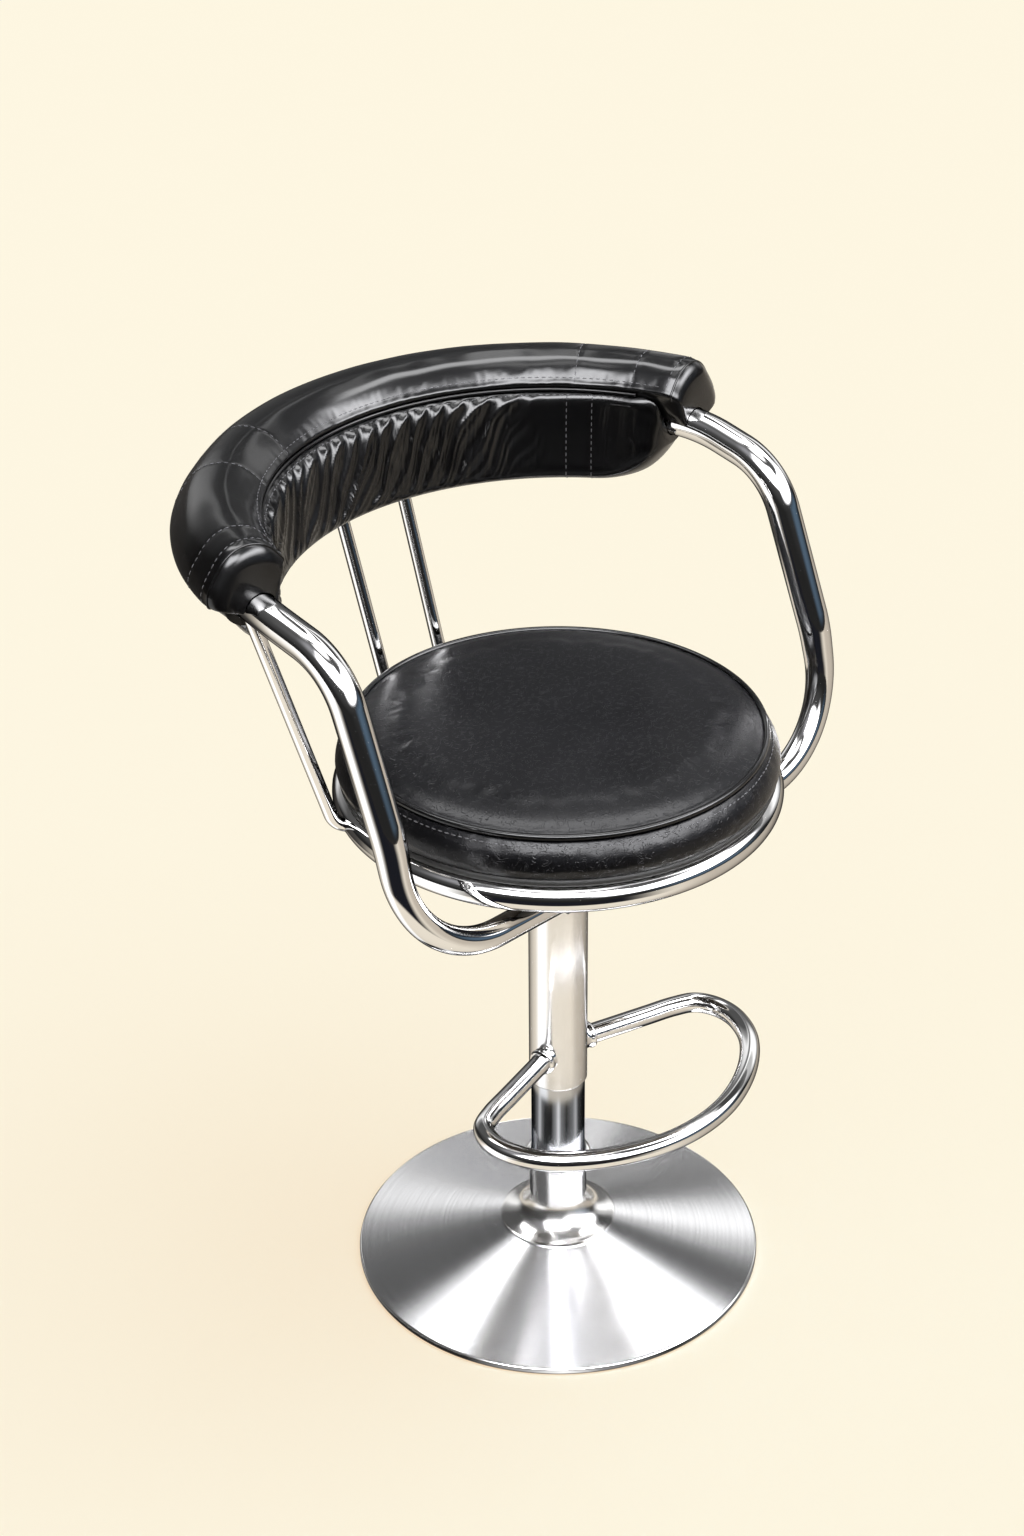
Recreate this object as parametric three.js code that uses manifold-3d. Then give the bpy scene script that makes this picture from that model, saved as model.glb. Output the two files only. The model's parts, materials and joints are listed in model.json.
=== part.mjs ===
// Swivel counter stool with a gas lift, a round padded seat, bent-tube arms and a horseshoe backrest.
// Millimetres, +Z up. The origin is the middle of the floor pad's underside. The chair faces -Y,
// and +X is to the sitter's left.

import * as THREE from 'three';
import { mergeVertices } from 'three/addons/utils/BufferGeometryUtils.js';
import Module from 'manifold-3d';

const wasm = await Module();
wasm.setup();

// Driving dimensions

const gap = 0.3;            // between neighbouring pieces
const cutOverrun = 2;       // how far a cutter runs past the face that it opens
const weldTolerance = 0.0001;

const floorPad = { inset: 0.8, thickness: 1.6 };
const baseCover = {
  radius: 192.5, wall: 2.4, rimTop: 6.4, rimRounding: 1.6, crownHeight: 38.4, crownRadius: 45,
  fallPower: 1.04,
};
const ballast = { inset: 8.5, thickness: 10, edgeThickness: 2.3, slopeInset: 44.5 };
const columnFoot = { radius: 50, thickness: 6, boreRadius: 13, boltReach: 38, boltCount: 4 };
const footBolt = { radius: 4, headRadius: 7.2, headHeight: 5.3, depth: 8 };

const column = { radius: 25.35, wall: 2.5, top: 350 };
const flange = {
  lipRadius: 54.7, lipThickness: 2.2, lipDrop: 1.1, neckRadius: 27, neckRise: 26.7, height: 54.7, wall: 1.4,
};
const collar = { lipRadius: 30.85, lipRise: 18, lipThickness: 7, footRadius: 28, height: 23 };

const bearingSeat = { bottom: 30, thickness: 6, boreRadius: 5.4 };
const bearing = { radius: 12, washerThickness: 2, ballDiameter: 4, boreRadius: 5.4 };
const pistonRod = { radius: 5, top: 300, pistonLength: 12, stepRadius: 9, stepHeight: 3, tail: 2.8 };
const retainer = { radius: 9, washerThickness: 0.9, clipThickness: 1.4, grooveDepth: 0.8 };
const guideBush = { length: 90, lip: 3 };

const cylinder = {
  radius: 14, wall: 2.4, bottom: 150, setback: 2, glandLength: 10, headLength: 30, taperLength: 42,
  taperRadius: 13.3,
};
const pin = { radius: 3, length: 37, rise: 10.7 };
const hub = { length: 38 };
const sleeve = { radius: 27.3, wall: 1.5, bottom: 200.8, top: 484 };

const channel = {
  length: 120, depth: 29.4, innerWidth: 66, wall: 3, floor: 4, flangeWidth: 20, pinHoleRadius: 6,
  boltOffset: 40,
};
const channelBolt = { radius: 3.8, headRadius: 6.5, headHeight: 5.4, grip: 9 };
const spider = { thickness: 4, middleRadius: 76, armHalfWidth: 22, armCount: 4 };
const seatBoard = { inset: 16, thickness: 12 };

const lever = {
  pivotReach: 30, pivotRise: 15.7, thickness: 6, width: 12, innerEnd: 8, bossRadius: 7,
  bendStart: 62, bendRun: 24, drop: 9.5, tail: 118, blade: 5, pinRadius: 3, pinOverhang: 2.5,
};
const grip = { start: 100, end: 166, width: 34, height: 10, corner: 6 };

const saddle = { reach: 95, length: 30, width: 52, skirt: 2.8, screwOffset: 19.5 };
const saddleScrew = { radius: 2.8, headRadius: 5.2, headHeight: 4, grip: 8.5 };

const seatRing = { radius: 188, tubeRadius: 12.5, rise: 6 };
const cushion = {
  widestOutset: 8.7, widestRise: 20.7, seamInset: 4.5, seamRise: 45, crownRise: 14.7, clearance: 0.5,
};
const seatWelt = { tubeRadius: 2.6 };
const seatBead = { tubeRadius: 4, outset: 2, clearance: 0.42 };

const footrest = {
  rise: 35.2, tubeRadius: 9.5, halfWidth: 150, depth: 180, legStart: 36, legStraight: 96,
  leanDegrees: 15.5, setback: 1.6,
};
const ferrule = { radius: 12.5, length: 6.5 };

const frame = {
  armHalfWidth: 262, thickRadius: 15.2, thinRadius: 12.5,
  elbowReach: 11.4, elbowRise: 258, elbowRadius: 70,
  kneeReach: 69, kneeRise: 118, kneeRadius: 160,
  crossReach: 96, crossDrop: 29, crossRadius: 95,
  taperStartRise: 45, taperEndRise: 145,
  backRise: 273.5, backDrop: 4.5, blendLength: 50, backStart: 50, backDepth: 240,
};

const rod = {
  radius: 6.25, upperDrop: 58.5, lowerOutset: 25, lowerRise: 20, footOutset: 18.5, footDrop: 6,
  bendRadius: 20, footLength: 22,
};
// Each rod's lower and upper end, in degrees from the back towards the sitter's left, and how far out
// its upper end lies, as a share of the way to the frame tube.
const rodLines = {
  back_rod_right: { lowerDegrees: -66.5, upperDegrees: -68.2, reachShare: 0.951328 },
  back_rod_middle: { lowerDegrees: -3.1, upperDegrees: -3.7, reachShare: 0.903475 },
  back_rod_left: { lowerDegrees: 14.6, upperDegrees: 12, reachShare: 0.903767 },
};

// The backrest is skinned over sections that stand on rays from one centre behind the seat's middle.
// In plan its seam, inner face and outer edge are like the frame tube's back stretch, but narrower or
// wider by one size, deeper by another and shifted forwards by a third.
const back = {
  centreShift: 10, rollEndAngle: 80.8, panelEndAngle: 76,
  seamNarrower: 21, seamDeeper: 1, seamShift: 38, seamRise: 35.5,
  innerNarrower: 13, innerDeeper: 9, innerShift: 61,
  outerWider: 49, outerDeeper: 71, outerShift: 25,
  rollRise: 58.5, panelDrop: 57.5, panelThickness: 18, wrapDrop: 22,
  cuffRadius: 23, noseAngle: 5.6, liftAngle: 15, clearance: 0.9,
};
const gathers = { count: 13, depth: 3.2, leanAngle: 5, fadeAngle: 24, endAngle: 48 };
const backWelt = { tubeRadius: 1.5 };

// Number of flat faces round a piece, by its size
const facets = { large: 44, ring: 48, medium: 28, small: 20, tube: 10, bolt: 8, head: 6 };

// Materials

const finishes = {
  chrome: { color: 0xdcdcdc, roughness: 0.05, metalness: 1 },
  darkChrome: { color: 0xa9adb3, roughness: 0.08, metalness: 1 },
  brushedSteel: { color: 0xb8babd, roughness: 0.32, metalness: 1 },
  steel: { color: 0x85878a, roughness: 0.4, metalness: 1 },
  castIron: { color: 0x3a3b3d, roughness: 0.75, metalness: 0.8 },
  leather: { color: 0x0b0b0c, roughness: 0.28, metalness: 0 },
  rubber: { color: 0x111111, roughness: 0.8, metalness: 0 },
  plastic: { color: 0x1b1b1c, roughness: 0.5, metalness: 0 },
  plywood: { color: 0xb48a5a, roughness: 0.7, metalness: 0 },
};

const materials = {};
for (const [name, values] of Object.entries(finishes)) {
  materials[name] = new THREE.MeshStandardMaterial(values);
}

const stool = new THREE.Group();
stool.name = 'counter_stool';

function addPiece(name, geometry, finish) {
  const mesh = new THREE.Mesh(geometry, materials[finish]);
  mesh.name = name;
  stool.add(mesh);
}

// Geometry helpers

const turn = Math.PI * 2;
const radians = THREE.MathUtils.degToRad;
const lerp = THREE.MathUtils.lerp;
const clamp = THREE.MathUtils.clamp;

function polar(radius, angle) {
  return [radius * Math.cos(angle), radius * Math.sin(angle)];
}

function positionsOnly(geometry) {
  const plain = new THREE.BufferGeometry();
  plain.setAttribute('position', geometry.getAttribute('position').clone());
  if (geometry.index) plain.setIndex(geometry.index.clone());
  return mergeVertices(plain, weldTolerance);
}

function signedVolume(geometry) {
  const position = geometry.getAttribute('position');
  const index = geometry.index;
  const corners = [new THREE.Vector3(), new THREE.Vector3(), new THREE.Vector3()];
  let volume = 0;
  for (let i = 0; i < index.count; i += 3) {
    corners.forEach((corner, k) => corner.fromBufferAttribute(position, index.getX(i + k)));
    volume += corners[0].dot(corners[1].clone().cross(corners[2])) / 6;
  }
  return volume;
}

// Merges shared vertices and turns the faces outward.
function closed(geometry) {
  const merged = positionsOnly(geometry);
  const index = merged.index;
  const kept = [];
  const outward = signedVolume(merged) > 0;
  for (let i = 0; i < index.count; i += 3) {
    const [a, b, c] = [index.getX(i), index.getX(i + 1), index.getX(i + 2)];
    if (a === b || b === c || c === a) continue;
    kept.push(...(outward ? [a, b, c] : [a, c, b]));
  }
  merged.setIndex(kept);
  merged.computeVertexNormals();
  return merged;
}

function toSolid(geometry) {
  const ready = closed(geometry);
  return new wasm.Manifold(new wasm.Mesh({
    numProp: 3,
    vertProperties: new Float32Array(ready.getAttribute('position').array),
    triVerts: new Uint32Array(ready.index.array),
  }));
}

function fromSolid(solid) {
  const mesh = solid.getMesh();
  const geometry = new THREE.BufferGeometry();
  const points = new Float32Array(mesh.numVert * 3);
  for (let i = 0; i < mesh.numVert; i++) {
    for (let k = 0; k < 3; k++) points[i * 3 + k] = mesh.vertProperties[i * mesh.numProp + k];
  }
  geometry.setAttribute('position', new THREE.BufferAttribute(points, 3));
  geometry.setIndex(new THREE.BufferAttribute(new Uint32Array(mesh.triVerts), 1));
  geometry.computeVertexNormals();
  return geometry;
}

function cut(geometry, cutters) {
  let solid = toSolid(geometry);
  for (const cutter of cutters) solid = solid.subtract(toSolid(cutter));
  return fromSolid(solid);
}

// Turns a profile of [radius, height] points about the vertical axis.
function lathe(profile, segments = facets.medium) {
  const points = profile.map(([radius, height]) => new THREE.Vector2(radius, height));
  return closed(new THREE.LatheGeometry(points, segments).rotateX(Math.PI / 2));
}

// A tube-shaped turned piece between two heights.
function turnedRing(innerRadius, outerRadius, bottom, top, segments = facets.medium) {
  return lathe([
    [innerRadius, bottom], [outerRadius, bottom], [outerRadius, top], [innerRadius, top],
    [innerRadius, bottom],
  ], segments);
}

function turnedDisc(radius, bottom, top, segments = facets.large) {
  return lathe([[0, bottom], [radius, bottom], [radius, top], [0, top]], segments);
}

function torus(radius, tubeRadius, height, segments, sides) {
  const ring = new THREE.TorusGeometry(radius, tubeRadius, sides, segments);
  return closed(ring.translate(0, 0, height));
}

// A straight rod between two points.
function bar(from, to, radius, sides = facets.small) {
  const along = to.clone().sub(from);
  const geometry = new THREE.CylinderGeometry(radius, radius, along.length(), sides);
  const facing = new THREE.Quaternion().setFromUnitVectors(
    new THREE.Vector3(0, 1, 0), along.clone().normalize());
  geometry.applyQuaternion(facing);
  const middle = from.clone().add(to).multiplyScalar(0.5);
  return closed(geometry.translate(middle.x, middle.y, middle.z));
}

function upright(x, y, bottom, top, radius, sides = facets.bolt) {
  return bar(new THREE.Vector3(x, y, bottom), new THREE.Vector3(x, y, top), radius, sides);
}

// Rounds each inner corner of a broken line with an arc of that corner's radius.
function filletedPath(corners, arcStep = 0.19) {
  const path = [corners[0].at.clone()];
  for (let i = 1; i < corners.length - 1; i++) {
    const { at, radius } = corners[i];
    const arriving = at.clone().sub(corners[i - 1].at).normalize();
    const leaving = corners[i + 1].at.clone().sub(at).normalize();
    const bend = arriving.angleTo(leaving);
    const start = at.clone().addScaledVector(arriving, -radius * Math.tan(bend / 2));
    const inward = leaving.clone().addScaledVector(arriving, -leaving.dot(arriving)).normalize();
    const middle = start.clone().addScaledVector(inward, radius);
    const steps = Math.max(2, Math.ceil(bend / arcStep));
    for (let k = 0; k <= steps; k++) {
      const angle = (bend * k) / steps;
      path.push(middle.clone()
        .addScaledVector(inward, -radius * Math.cos(angle))
        .addScaledVector(arriving, radius * Math.sin(angle)));
    }
  }
  path.push(corners[corners.length - 1].at.clone());
  return path;
}

// The same points on the other side of the middle plane, in reverse order.
function mirrored(points) {
  return points.map((point) => new THREE.Vector3(-point.x, point.y, point.z)).reverse();
}

function tangentAt(path, i, looped) {
  const last = path.length - 1;
  const before = looped ? path[(i + last) % path.length] : path[Math.max(0, i - 1)];
  const after = looped ? path[(i + 1) % path.length] : path[Math.min(last, i + 1)];
  return after.clone().sub(before).normalize();
}

// Sweeps a round section along a path. radiusAt gives the radius at a point of it.
// A looped path joins its end to its start, and any other path gets flat caps.
function sweptTube(path, radiusAt, sides, looped = false) {
  const points = [];
  const index = [];
  let side = new THREE.Vector3(0, 0, 1);
  for (let i = 0; i < path.length; i++) {
    const tangent = tangentAt(path, i, looped);
    side = side.addScaledVector(tangent, -side.dot(tangent)).normalize();
    const other = tangent.clone().cross(side);
    const radius = radiusAt(path[i], i);
    for (let k = 0; k < sides; k++) {
      const angle = (turn * k) / sides;
      const point = path[i].clone()
        .addScaledVector(side, radius * Math.cos(angle))
        .addScaledVector(other, radius * Math.sin(angle));
      points.push(point.x, point.y, point.z);
    }
  }
  const rings = looped ? path.length : path.length - 1;
  for (let i = 0; i < rings; i++) {
    const here = i * sides;
    const next = ((i + 1) % path.length) * sides;
    for (let k = 0; k < sides; k++) {
      const l = (k + 1) % sides;
      index.push(here + k, next + k, next + l, here + k, next + l, here + l);
    }
  }
  if (!looped) {
    const last = (path.length - 1) * sides;
    for (let k = 1; k < sides - 1; k++) {
      index.push(0, k, k + 1, last, last + k + 1, last + k);
    }
  }
  const geometry = new THREE.BufferGeometry();
  geometry.setAttribute('position', new THREE.Float32BufferAttribute(points, 3));
  geometry.setIndex(index);
  return closed(geometry);
}

// Skins a row of sections, which all run anticlockwise and have as many points, and closes both ends.
// Each four-sided patch is split along its shorter diagonal.
function loft(sections, endOutlines) {
  const count = sections[0].length;
  const all = sections.flat();
  const index = [];
  for (let i = 0; i < sections.length - 1; i++) {
    for (let k = 0; k < count; k++) {
      const here = i * count;
      const [a, b] = [here + k, here + ((k + 1) % count)];
      const [c, d] = [b + count, a + count];
      const straight = all[a].distanceToSquared(all[c]) <= all[b].distanceToSquared(all[d]);
      index.push(...(straight ? [a, b, c, a, c, d] : [a, b, d, b, c, d]));
    }
  }
  const last = all.length - count;
  for (const [a, b, c] of THREE.ShapeUtils.triangulateShape(endOutlines[0], [])) index.push(a, c, b);
  for (const [a, b, c] of THREE.ShapeUtils.triangulateShape(endOutlines[1], [])) {
    index.push(last + a, last + b, last + c);
  }
  const geometry = new THREE.BufferGeometry();
  const places = all.flatMap((point) => point.toArray());
  geometry.setAttribute('position', new THREE.Float32BufferAttribute(places, 3));
  geometry.setIndex(index);
  return closed(geometry);
}

// Base: floor pad, cast plate, spun cover

const ballastBottom = floorPad.thickness + gap;
const ballastTop = ballastBottom + ballast.thickness;
const footBottom = ballastTop + gap;
const footTop = footBottom + columnFoot.thickness;
const columnBottom = footTop + gap;

function coverHeight(radius) {
  const shoulder = baseCover.radius - baseCover.rimRounding;
  const share = (shoulder - radius) / (shoulder - baseCover.crownRadius);
  return lerp(baseCover.rimTop, baseCover.crownHeight, Math.pow(share, baseCover.fallPower));
}

function coverProfile() {
  const outer = baseCover.radius;
  const shoulder = outer - baseCover.rimRounding;
  const bore = column.radius + gap;
  const slopeShares = [1, 0.8, 0.55, 0.28, 0];
  const slope = slopeShares.map((share) => {
    const radius = lerp(baseCover.crownRadius, shoulder, share);
    return [radius, coverHeight(radius)];
  });
  return [
    [outer, ballastBottom], [outer, baseCover.rimTop - baseCover.rimRounding], ...slope,
    [bore, baseCover.crownHeight], [bore, baseCover.crownHeight - baseCover.wall],
    [baseCover.crownRadius, baseCover.crownHeight - baseCover.wall],
    [outer - baseCover.wall, baseCover.rimTop - baseCover.rimRounding],
    [outer - baseCover.wall, ballastBottom], [outer, ballastBottom],
  ];
}

function boltPlaces() {
  const places = [];
  for (let i = 0; i < columnFoot.boltCount; i++) {
    const angle = (turn * (i + 0.5)) / columnFoot.boltCount;
    places.push(polar(columnFoot.boltReach, angle));
  }
  return places;
}

// A bolt whose shank runs up or down from inside its head.
function bolt([x, y], headBottom, shankEnd, size) {
  const headMiddle = headBottom + size.headHeight / 2;
  const shankBottom = Math.min(headMiddle, shankEnd);
  const shankTop = Math.max(headMiddle, shankEnd);
  const shank = upright(x, y, shankBottom, shankTop, size.radius);
  const head = upright(x, y, headBottom, headBottom + size.headHeight, size.headRadius, facets.head);
  return fromSolid(toSolid(shank).add(toSolid(head)));
}

// A cutter for a bolt's hole. Its flat sides stay clear of the shank.
function boltHole([x, y], bottom, top, size) {
  return upright(x, y, bottom, top, size.radius + gap);
}

function buildBase() {
  const padRadius = baseCover.radius - floorPad.inset;
  addPiece('floor_pad', turnedDisc(padRadius, 0, floorPad.thickness), 'rubber');
  const holes = boltPlaces().map((place) => boltHole(
    place, ballastTop - footBolt.depth - gap, ballastTop + cutOverrun, footBolt));
  const plateRadius = baseCover.radius - ballast.inset;
  const plate = lathe([
    [0, ballastBottom], [plateRadius, ballastBottom],
    [plateRadius, ballastBottom + ballast.edgeThickness],
    [baseCover.radius - ballast.slopeInset, ballastTop], [0, ballastTop],
  ], facets.large);
  addPiece('ballast_plate', cut(plate, holes), 'castIron');
  addPiece('base_cover', lathe(coverProfile(), facets.ring), 'brushedSteel');
  const footHoles = boltPlaces().map((place) => boltHole(
    place, footBottom - cutOverrun, footTop + cutOverrun, footBolt));
  const foot = turnedRing(columnFoot.boreRadius, columnFoot.radius, footBottom, footTop);
  addPiece('column_foot', cut(foot, footHoles), 'steel');
  boltPlaces().forEach((place, i) => {
    const shankEnd = ballastTop - footBolt.depth;
    addPiece(`foot_bolt_${i + 1}`, bolt(place, footTop + gap, shankEnd, footBolt), 'steel');
  });
}

// Column, its flange and collar

const flangeBottom = baseCover.crownHeight - flange.lipDrop;
const flangeTop = flangeBottom + flange.height;
const neckStart = flangeBottom + flange.neckRise;

function flangeProfile() {
  const lipTop = flangeBottom + flange.lipThickness;
  const lipInner = flange.lipRadius - flange.lipThickness;
  const bore = column.radius + gap;
  const flareShares = [
    [1, 0], [0.8, 0.05], [0.55, 0.16], [0.33, 0.34], [0.14, 0.62], [0.03, 0.88], [0, 1],
  ];
  const flare = flareShares.map(([across, up]) => [
    lerp(flange.neckRadius, flange.lipRadius - flange.lipThickness / 2, across),
    lerp(lipTop, neckStart, up),
  ]);
  const lining = [flare[4], flare[3], flare[1]].map(([radius, height]) => [
    radius - flange.wall, height - flange.wall]);
  return [
    [lipInner, flangeBottom], [flange.lipRadius, lipTop - flange.lipThickness / 2], ...flare,
    [flange.neckRadius, flangeTop], [bore, flangeTop], [bore, neckStart], ...lining,
    [lipInner, flangeBottom],
  ];
}

function collarProfile() {
  const bore = column.radius + gap;
  const bottom = flangeTop + gap;
  const lipHeight = flangeTop + collar.lipRise;
  const half = collar.lipThickness / 2;
  const lipCentre = collar.lipRadius - half;
  const lipSteps = 4;
  const lip = [];
  for (let i = 0; i <= lipSteps; i++) {
    const angle = lerp(-0.35, 0.5, i / lipSteps) * Math.PI;
    lip.push([lipCentre + half * Math.cos(angle), lipHeight + half * Math.sin(angle)]);
  }
  return [
    [bore, bottom], [collar.footRadius, bottom], [collar.footRadius, (bottom + lipHeight) / 2],
    ...lip, [bore, flangeTop + collar.height - half / 2], [bore, bottom],
  ];
}

function buildColumn() {
  const inner = column.radius - column.wall;
  addPiece('inner_column', turnedRing(inner, column.radius, columnBottom, column.top), 'darkChrome');
  addPiece('trumpet_flange', lathe(flangeProfile()), 'chrome');
  addPiece('collar_ring', lathe(collarProfile()), 'chrome');
  const bore = cylinder.radius + gap;
  const plugRadius = inner - gap;
  const lipBottom = column.top + gap;
  addPiece('guide_bush', lathe([
    [bore, column.top - guideBush.length], [plugRadius, column.top - guideBush.length],
    [plugRadius, lipBottom], [column.radius, lipBottom], [column.radius, lipBottom + guideBush.lip],
    [bore, lipBottom + guideBush.lip], [bore, column.top - guideBush.length],
  ], facets.small), 'plastic');
}

// Thrust bearing and piston rod, which turn on the column's bearing seat

const seatTop = bearingSeat.bottom + bearingSeat.thickness;
const lowerWasherBottom = seatTop + gap;
const ballBottom = lowerWasherBottom + bearing.washerThickness + gap;
const upperWasherBottom = ballBottom + bearing.ballDiameter + gap;
const rodStepBottom = upperWasherBottom + bearing.washerThickness + gap;
const retainingWasherBottom = bearingSeat.bottom - gap - retainer.washerThickness;
const clipBottom = retainingWasherBottom - gap - retainer.clipThickness;

function buildBearing() {
  const seatRadius = column.radius - column.wall - gap;
  const washer = (name, innerRadius, outerRadius, bottom, thickness) => {
    const ring = turnedRing(innerRadius, outerRadius, bottom, bottom + thickness, facets.small);
    addPiece(name, ring, 'steel');
  };
  const { boreRadius, radius, washerThickness, ballDiameter } = bearing;
  washer('bearing_seat', bearingSeat.boreRadius, seatRadius, bearingSeat.bottom, bearingSeat.thickness);
  washer('thrust_washer_lower', boreRadius, radius, lowerWasherBottom, washerThickness);
  washer('thrust_washer_upper', boreRadius, radius, upperWasherBottom, washerThickness);
  washer('rod_washer', boreRadius, retainer.radius, retainingWasherBottom, retainer.washerThickness);
  const grooveRadius = pistonRod.radius - retainer.grooveDepth;
  washer('retaining_clip', grooveRadius + gap, retainer.radius, clipBottom, retainer.clipThickness);
  const balls = torus((radius + boreRadius) / 2, ballDiameter / 2, ballBottom + ballDiameter / 2,
    facets.small, facets.head);
  addPiece('thrust_ball_ring', balls, 'steel');
}

function buildPistonRod() {
  const grooveRadius = pistonRod.radius - retainer.grooveDepth;
  const stepTop = rodStepBottom + pistonRod.stepHeight;
  const pistonRadius = cylinder.radius - cylinder.wall - gap;
  const pistonBottom = pistonRod.top - pistonRod.pistonLength;
  const clipTop = clipBottom + retainer.clipThickness;
  const rodBottom = clipBottom - gap - pistonRod.tail;
  addPiece('piston_rod', lathe([
    [0, rodBottom], [pistonRod.radius, rodBottom],
    [pistonRod.radius, clipBottom - gap], [grooveRadius, clipBottom - gap],
    [grooveRadius, clipTop + gap], [pistonRod.radius, clipTop + gap],
    [pistonRod.radius, rodStepBottom], [pistonRod.stepRadius, rodStepBottom],
    [pistonRod.stepRadius, stepTop], [pistonRod.radius, stepTop],
    [pistonRod.radius, pistonBottom], [pistonRadius, pistonBottom],
    [pistonRadius, pistonRod.top], [0, pistonRod.top],
  ], facets.small), 'steel');
}

// Pressure cylinder, release pin, hub and outer sleeve, which slide with the seat

const cylinderTop = sleeve.top - cylinder.setback;
const channelBottom = sleeve.top + gap;
const pinTop = channelBottom + pin.rise;
const pivotHeight = channelBottom + lever.pivotRise;

function buildLift() {
  const bore = cylinder.radius - cylinder.wall;
  const glandBore = pistonRod.radius + gap;
  const pinBore = pin.radius + gap;
  const cavityBottom = cylinder.bottom + cylinder.glandLength;
  const cavityTop = cylinderTop - cylinder.headLength;
  addPiece('pressure_cylinder', lathe([
    [glandBore, cylinder.bottom], [cylinder.radius, cylinder.bottom],
    [cylinder.radius, cylinderTop - cylinder.taperLength], [cylinder.taperRadius, cylinderTop],
    [pinBore, cylinderTop], [pinBore, cavityTop], [bore, cavityTop],
    [bore, cavityBottom], [glandBore, cavityBottom], [glandBore, cylinder.bottom],
  ], facets.small), 'darkChrome');
  const tipShare = 0.7;
  addPiece('release_pin', lathe([
    [0, pinTop - pin.length], [pin.radius, pinTop - pin.length],
    [pin.radius, pinTop - pin.radius * tipShare], [pin.radius * tipShare, pinTop], [0, pinTop],
  ], facets.bolt), 'steel');
  const hubRadius = sleeve.radius - sleeve.wall - gap;
  const hubBottom = sleeve.top - hub.length;
  addPiece('taper_hub', lathe([
    [cylinder.radius + gap, hubBottom], [hubRadius, hubBottom], [hubRadius, sleeve.top],
    [cylinder.taperRadius + gap * 2, sleeve.top], [cylinder.taperRadius + gap * 2, cylinderTop],
    [cylinder.radius + gap, hubBottom],
  ], facets.medium), 'steel');
  addPiece('outer_sleeve', turnedRing(
    sleeve.radius - sleeve.wall, sleeve.radius, sleeve.bottom, sleeve.top), 'chrome');
}

// Footrest

const footrestHeight = sleeve.bottom + footrest.rise;

// A point on the straight part of the footrest's left leg, this far out from the column.
function footrestLeg(reach) {
  const lean = radians(footrest.leanDegrees);
  return new THREE.Vector3(
    reach * Math.cos(lean), -footrest.setback - reach * Math.sin(lean), footrestHeight);
}

const footrestSteps = 36;

function footrestPath() {
  const loopShares = [
    [0.8, 0.195], [0.93, 0.25], [0.99, 0.35], [0.99, 0.48],
    [0.9, 0.645], [0.74, 0.78], [0.52, 0.895], [0.26, 0.975],
  ];
  const place = ([across, ahead]) => new THREE.Vector3(
    footrest.halfWidth * across, -footrest.depth * ahead, footrestHeight);
  const legShares = [0, 0.33, 0.67, 1];
  const legReaches = legShares.map((share) => lerp(footrest.legStart, footrest.legStraight, share));
  const left = [...legReaches.map(footrestLeg), ...loopShares.map(place)];
  const knots = [...left, place([0, 1]), ...mirrored(left)];
  return new THREE.CatmullRomCurve3(knots, false, 'centripetal').getSpacedPoints(footrestSteps);
}

function buildFootrest() {
  addPiece('footrest_loop', sweptTube(footrestPath(), () => footrest.tubeRadius, facets.tube), 'chrome');
  const reach = ferrule.radius + cutOverrun;
  const sleeveCutter = upright(
    0, 0, footrestHeight - reach, footrestHeight + reach, sleeve.radius + gap, facets.ring);
  for (const [name, side] of [['footrest_ferrule_left', 1], ['footrest_ferrule_right', -1]]) {
    const inner = footrestLeg(sleeve.radius - ferrule.length);
    const outer = footrestLeg(footrest.legStart - gap);
    inner.x *= side;
    outer.x *= side;
    addPiece(name, cut(bar(inner, outer, ferrule.radius), [sleeveCutter]), 'chrome');
  }
}

// Seat mechanism

const channelTop = channelBottom + channel.depth;
const spiderBottom = channelTop + gap;
const boardBottom = spiderBottom + spider.thickness + gap;
const boardTop = boardBottom + seatBoard.thickness;
const boardRadius = seatRing.radius - seatBoard.inset;
const ringHeight = spiderBottom + seatRing.rise;
const beadRadius = seatRing.radius + seatBead.outset;
const beadHeight = ringHeight + Math.sqrt(
  (seatRing.tubeRadius + seatBead.tubeRadius + seatBead.clearance) ** 2 - seatBead.outset ** 2);
const seamRadius = seatRing.radius - cushion.seamInset;
const seamHeight = boardTop + cushion.seamRise;
const crossHeight = spiderBottom - frame.crossDrop;
const backHeight = crossHeight + frame.backRise;

function channelBoltPlaces() {
  const across = channel.innerWidth / 2 + channel.wall + channel.flangeWidth / 2;
  return [[1, 1], [1, -1], [-1, 1], [-1, -1]].map(([x, y]) => [x * channel.boltOffset, y * across]);
}

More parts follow.
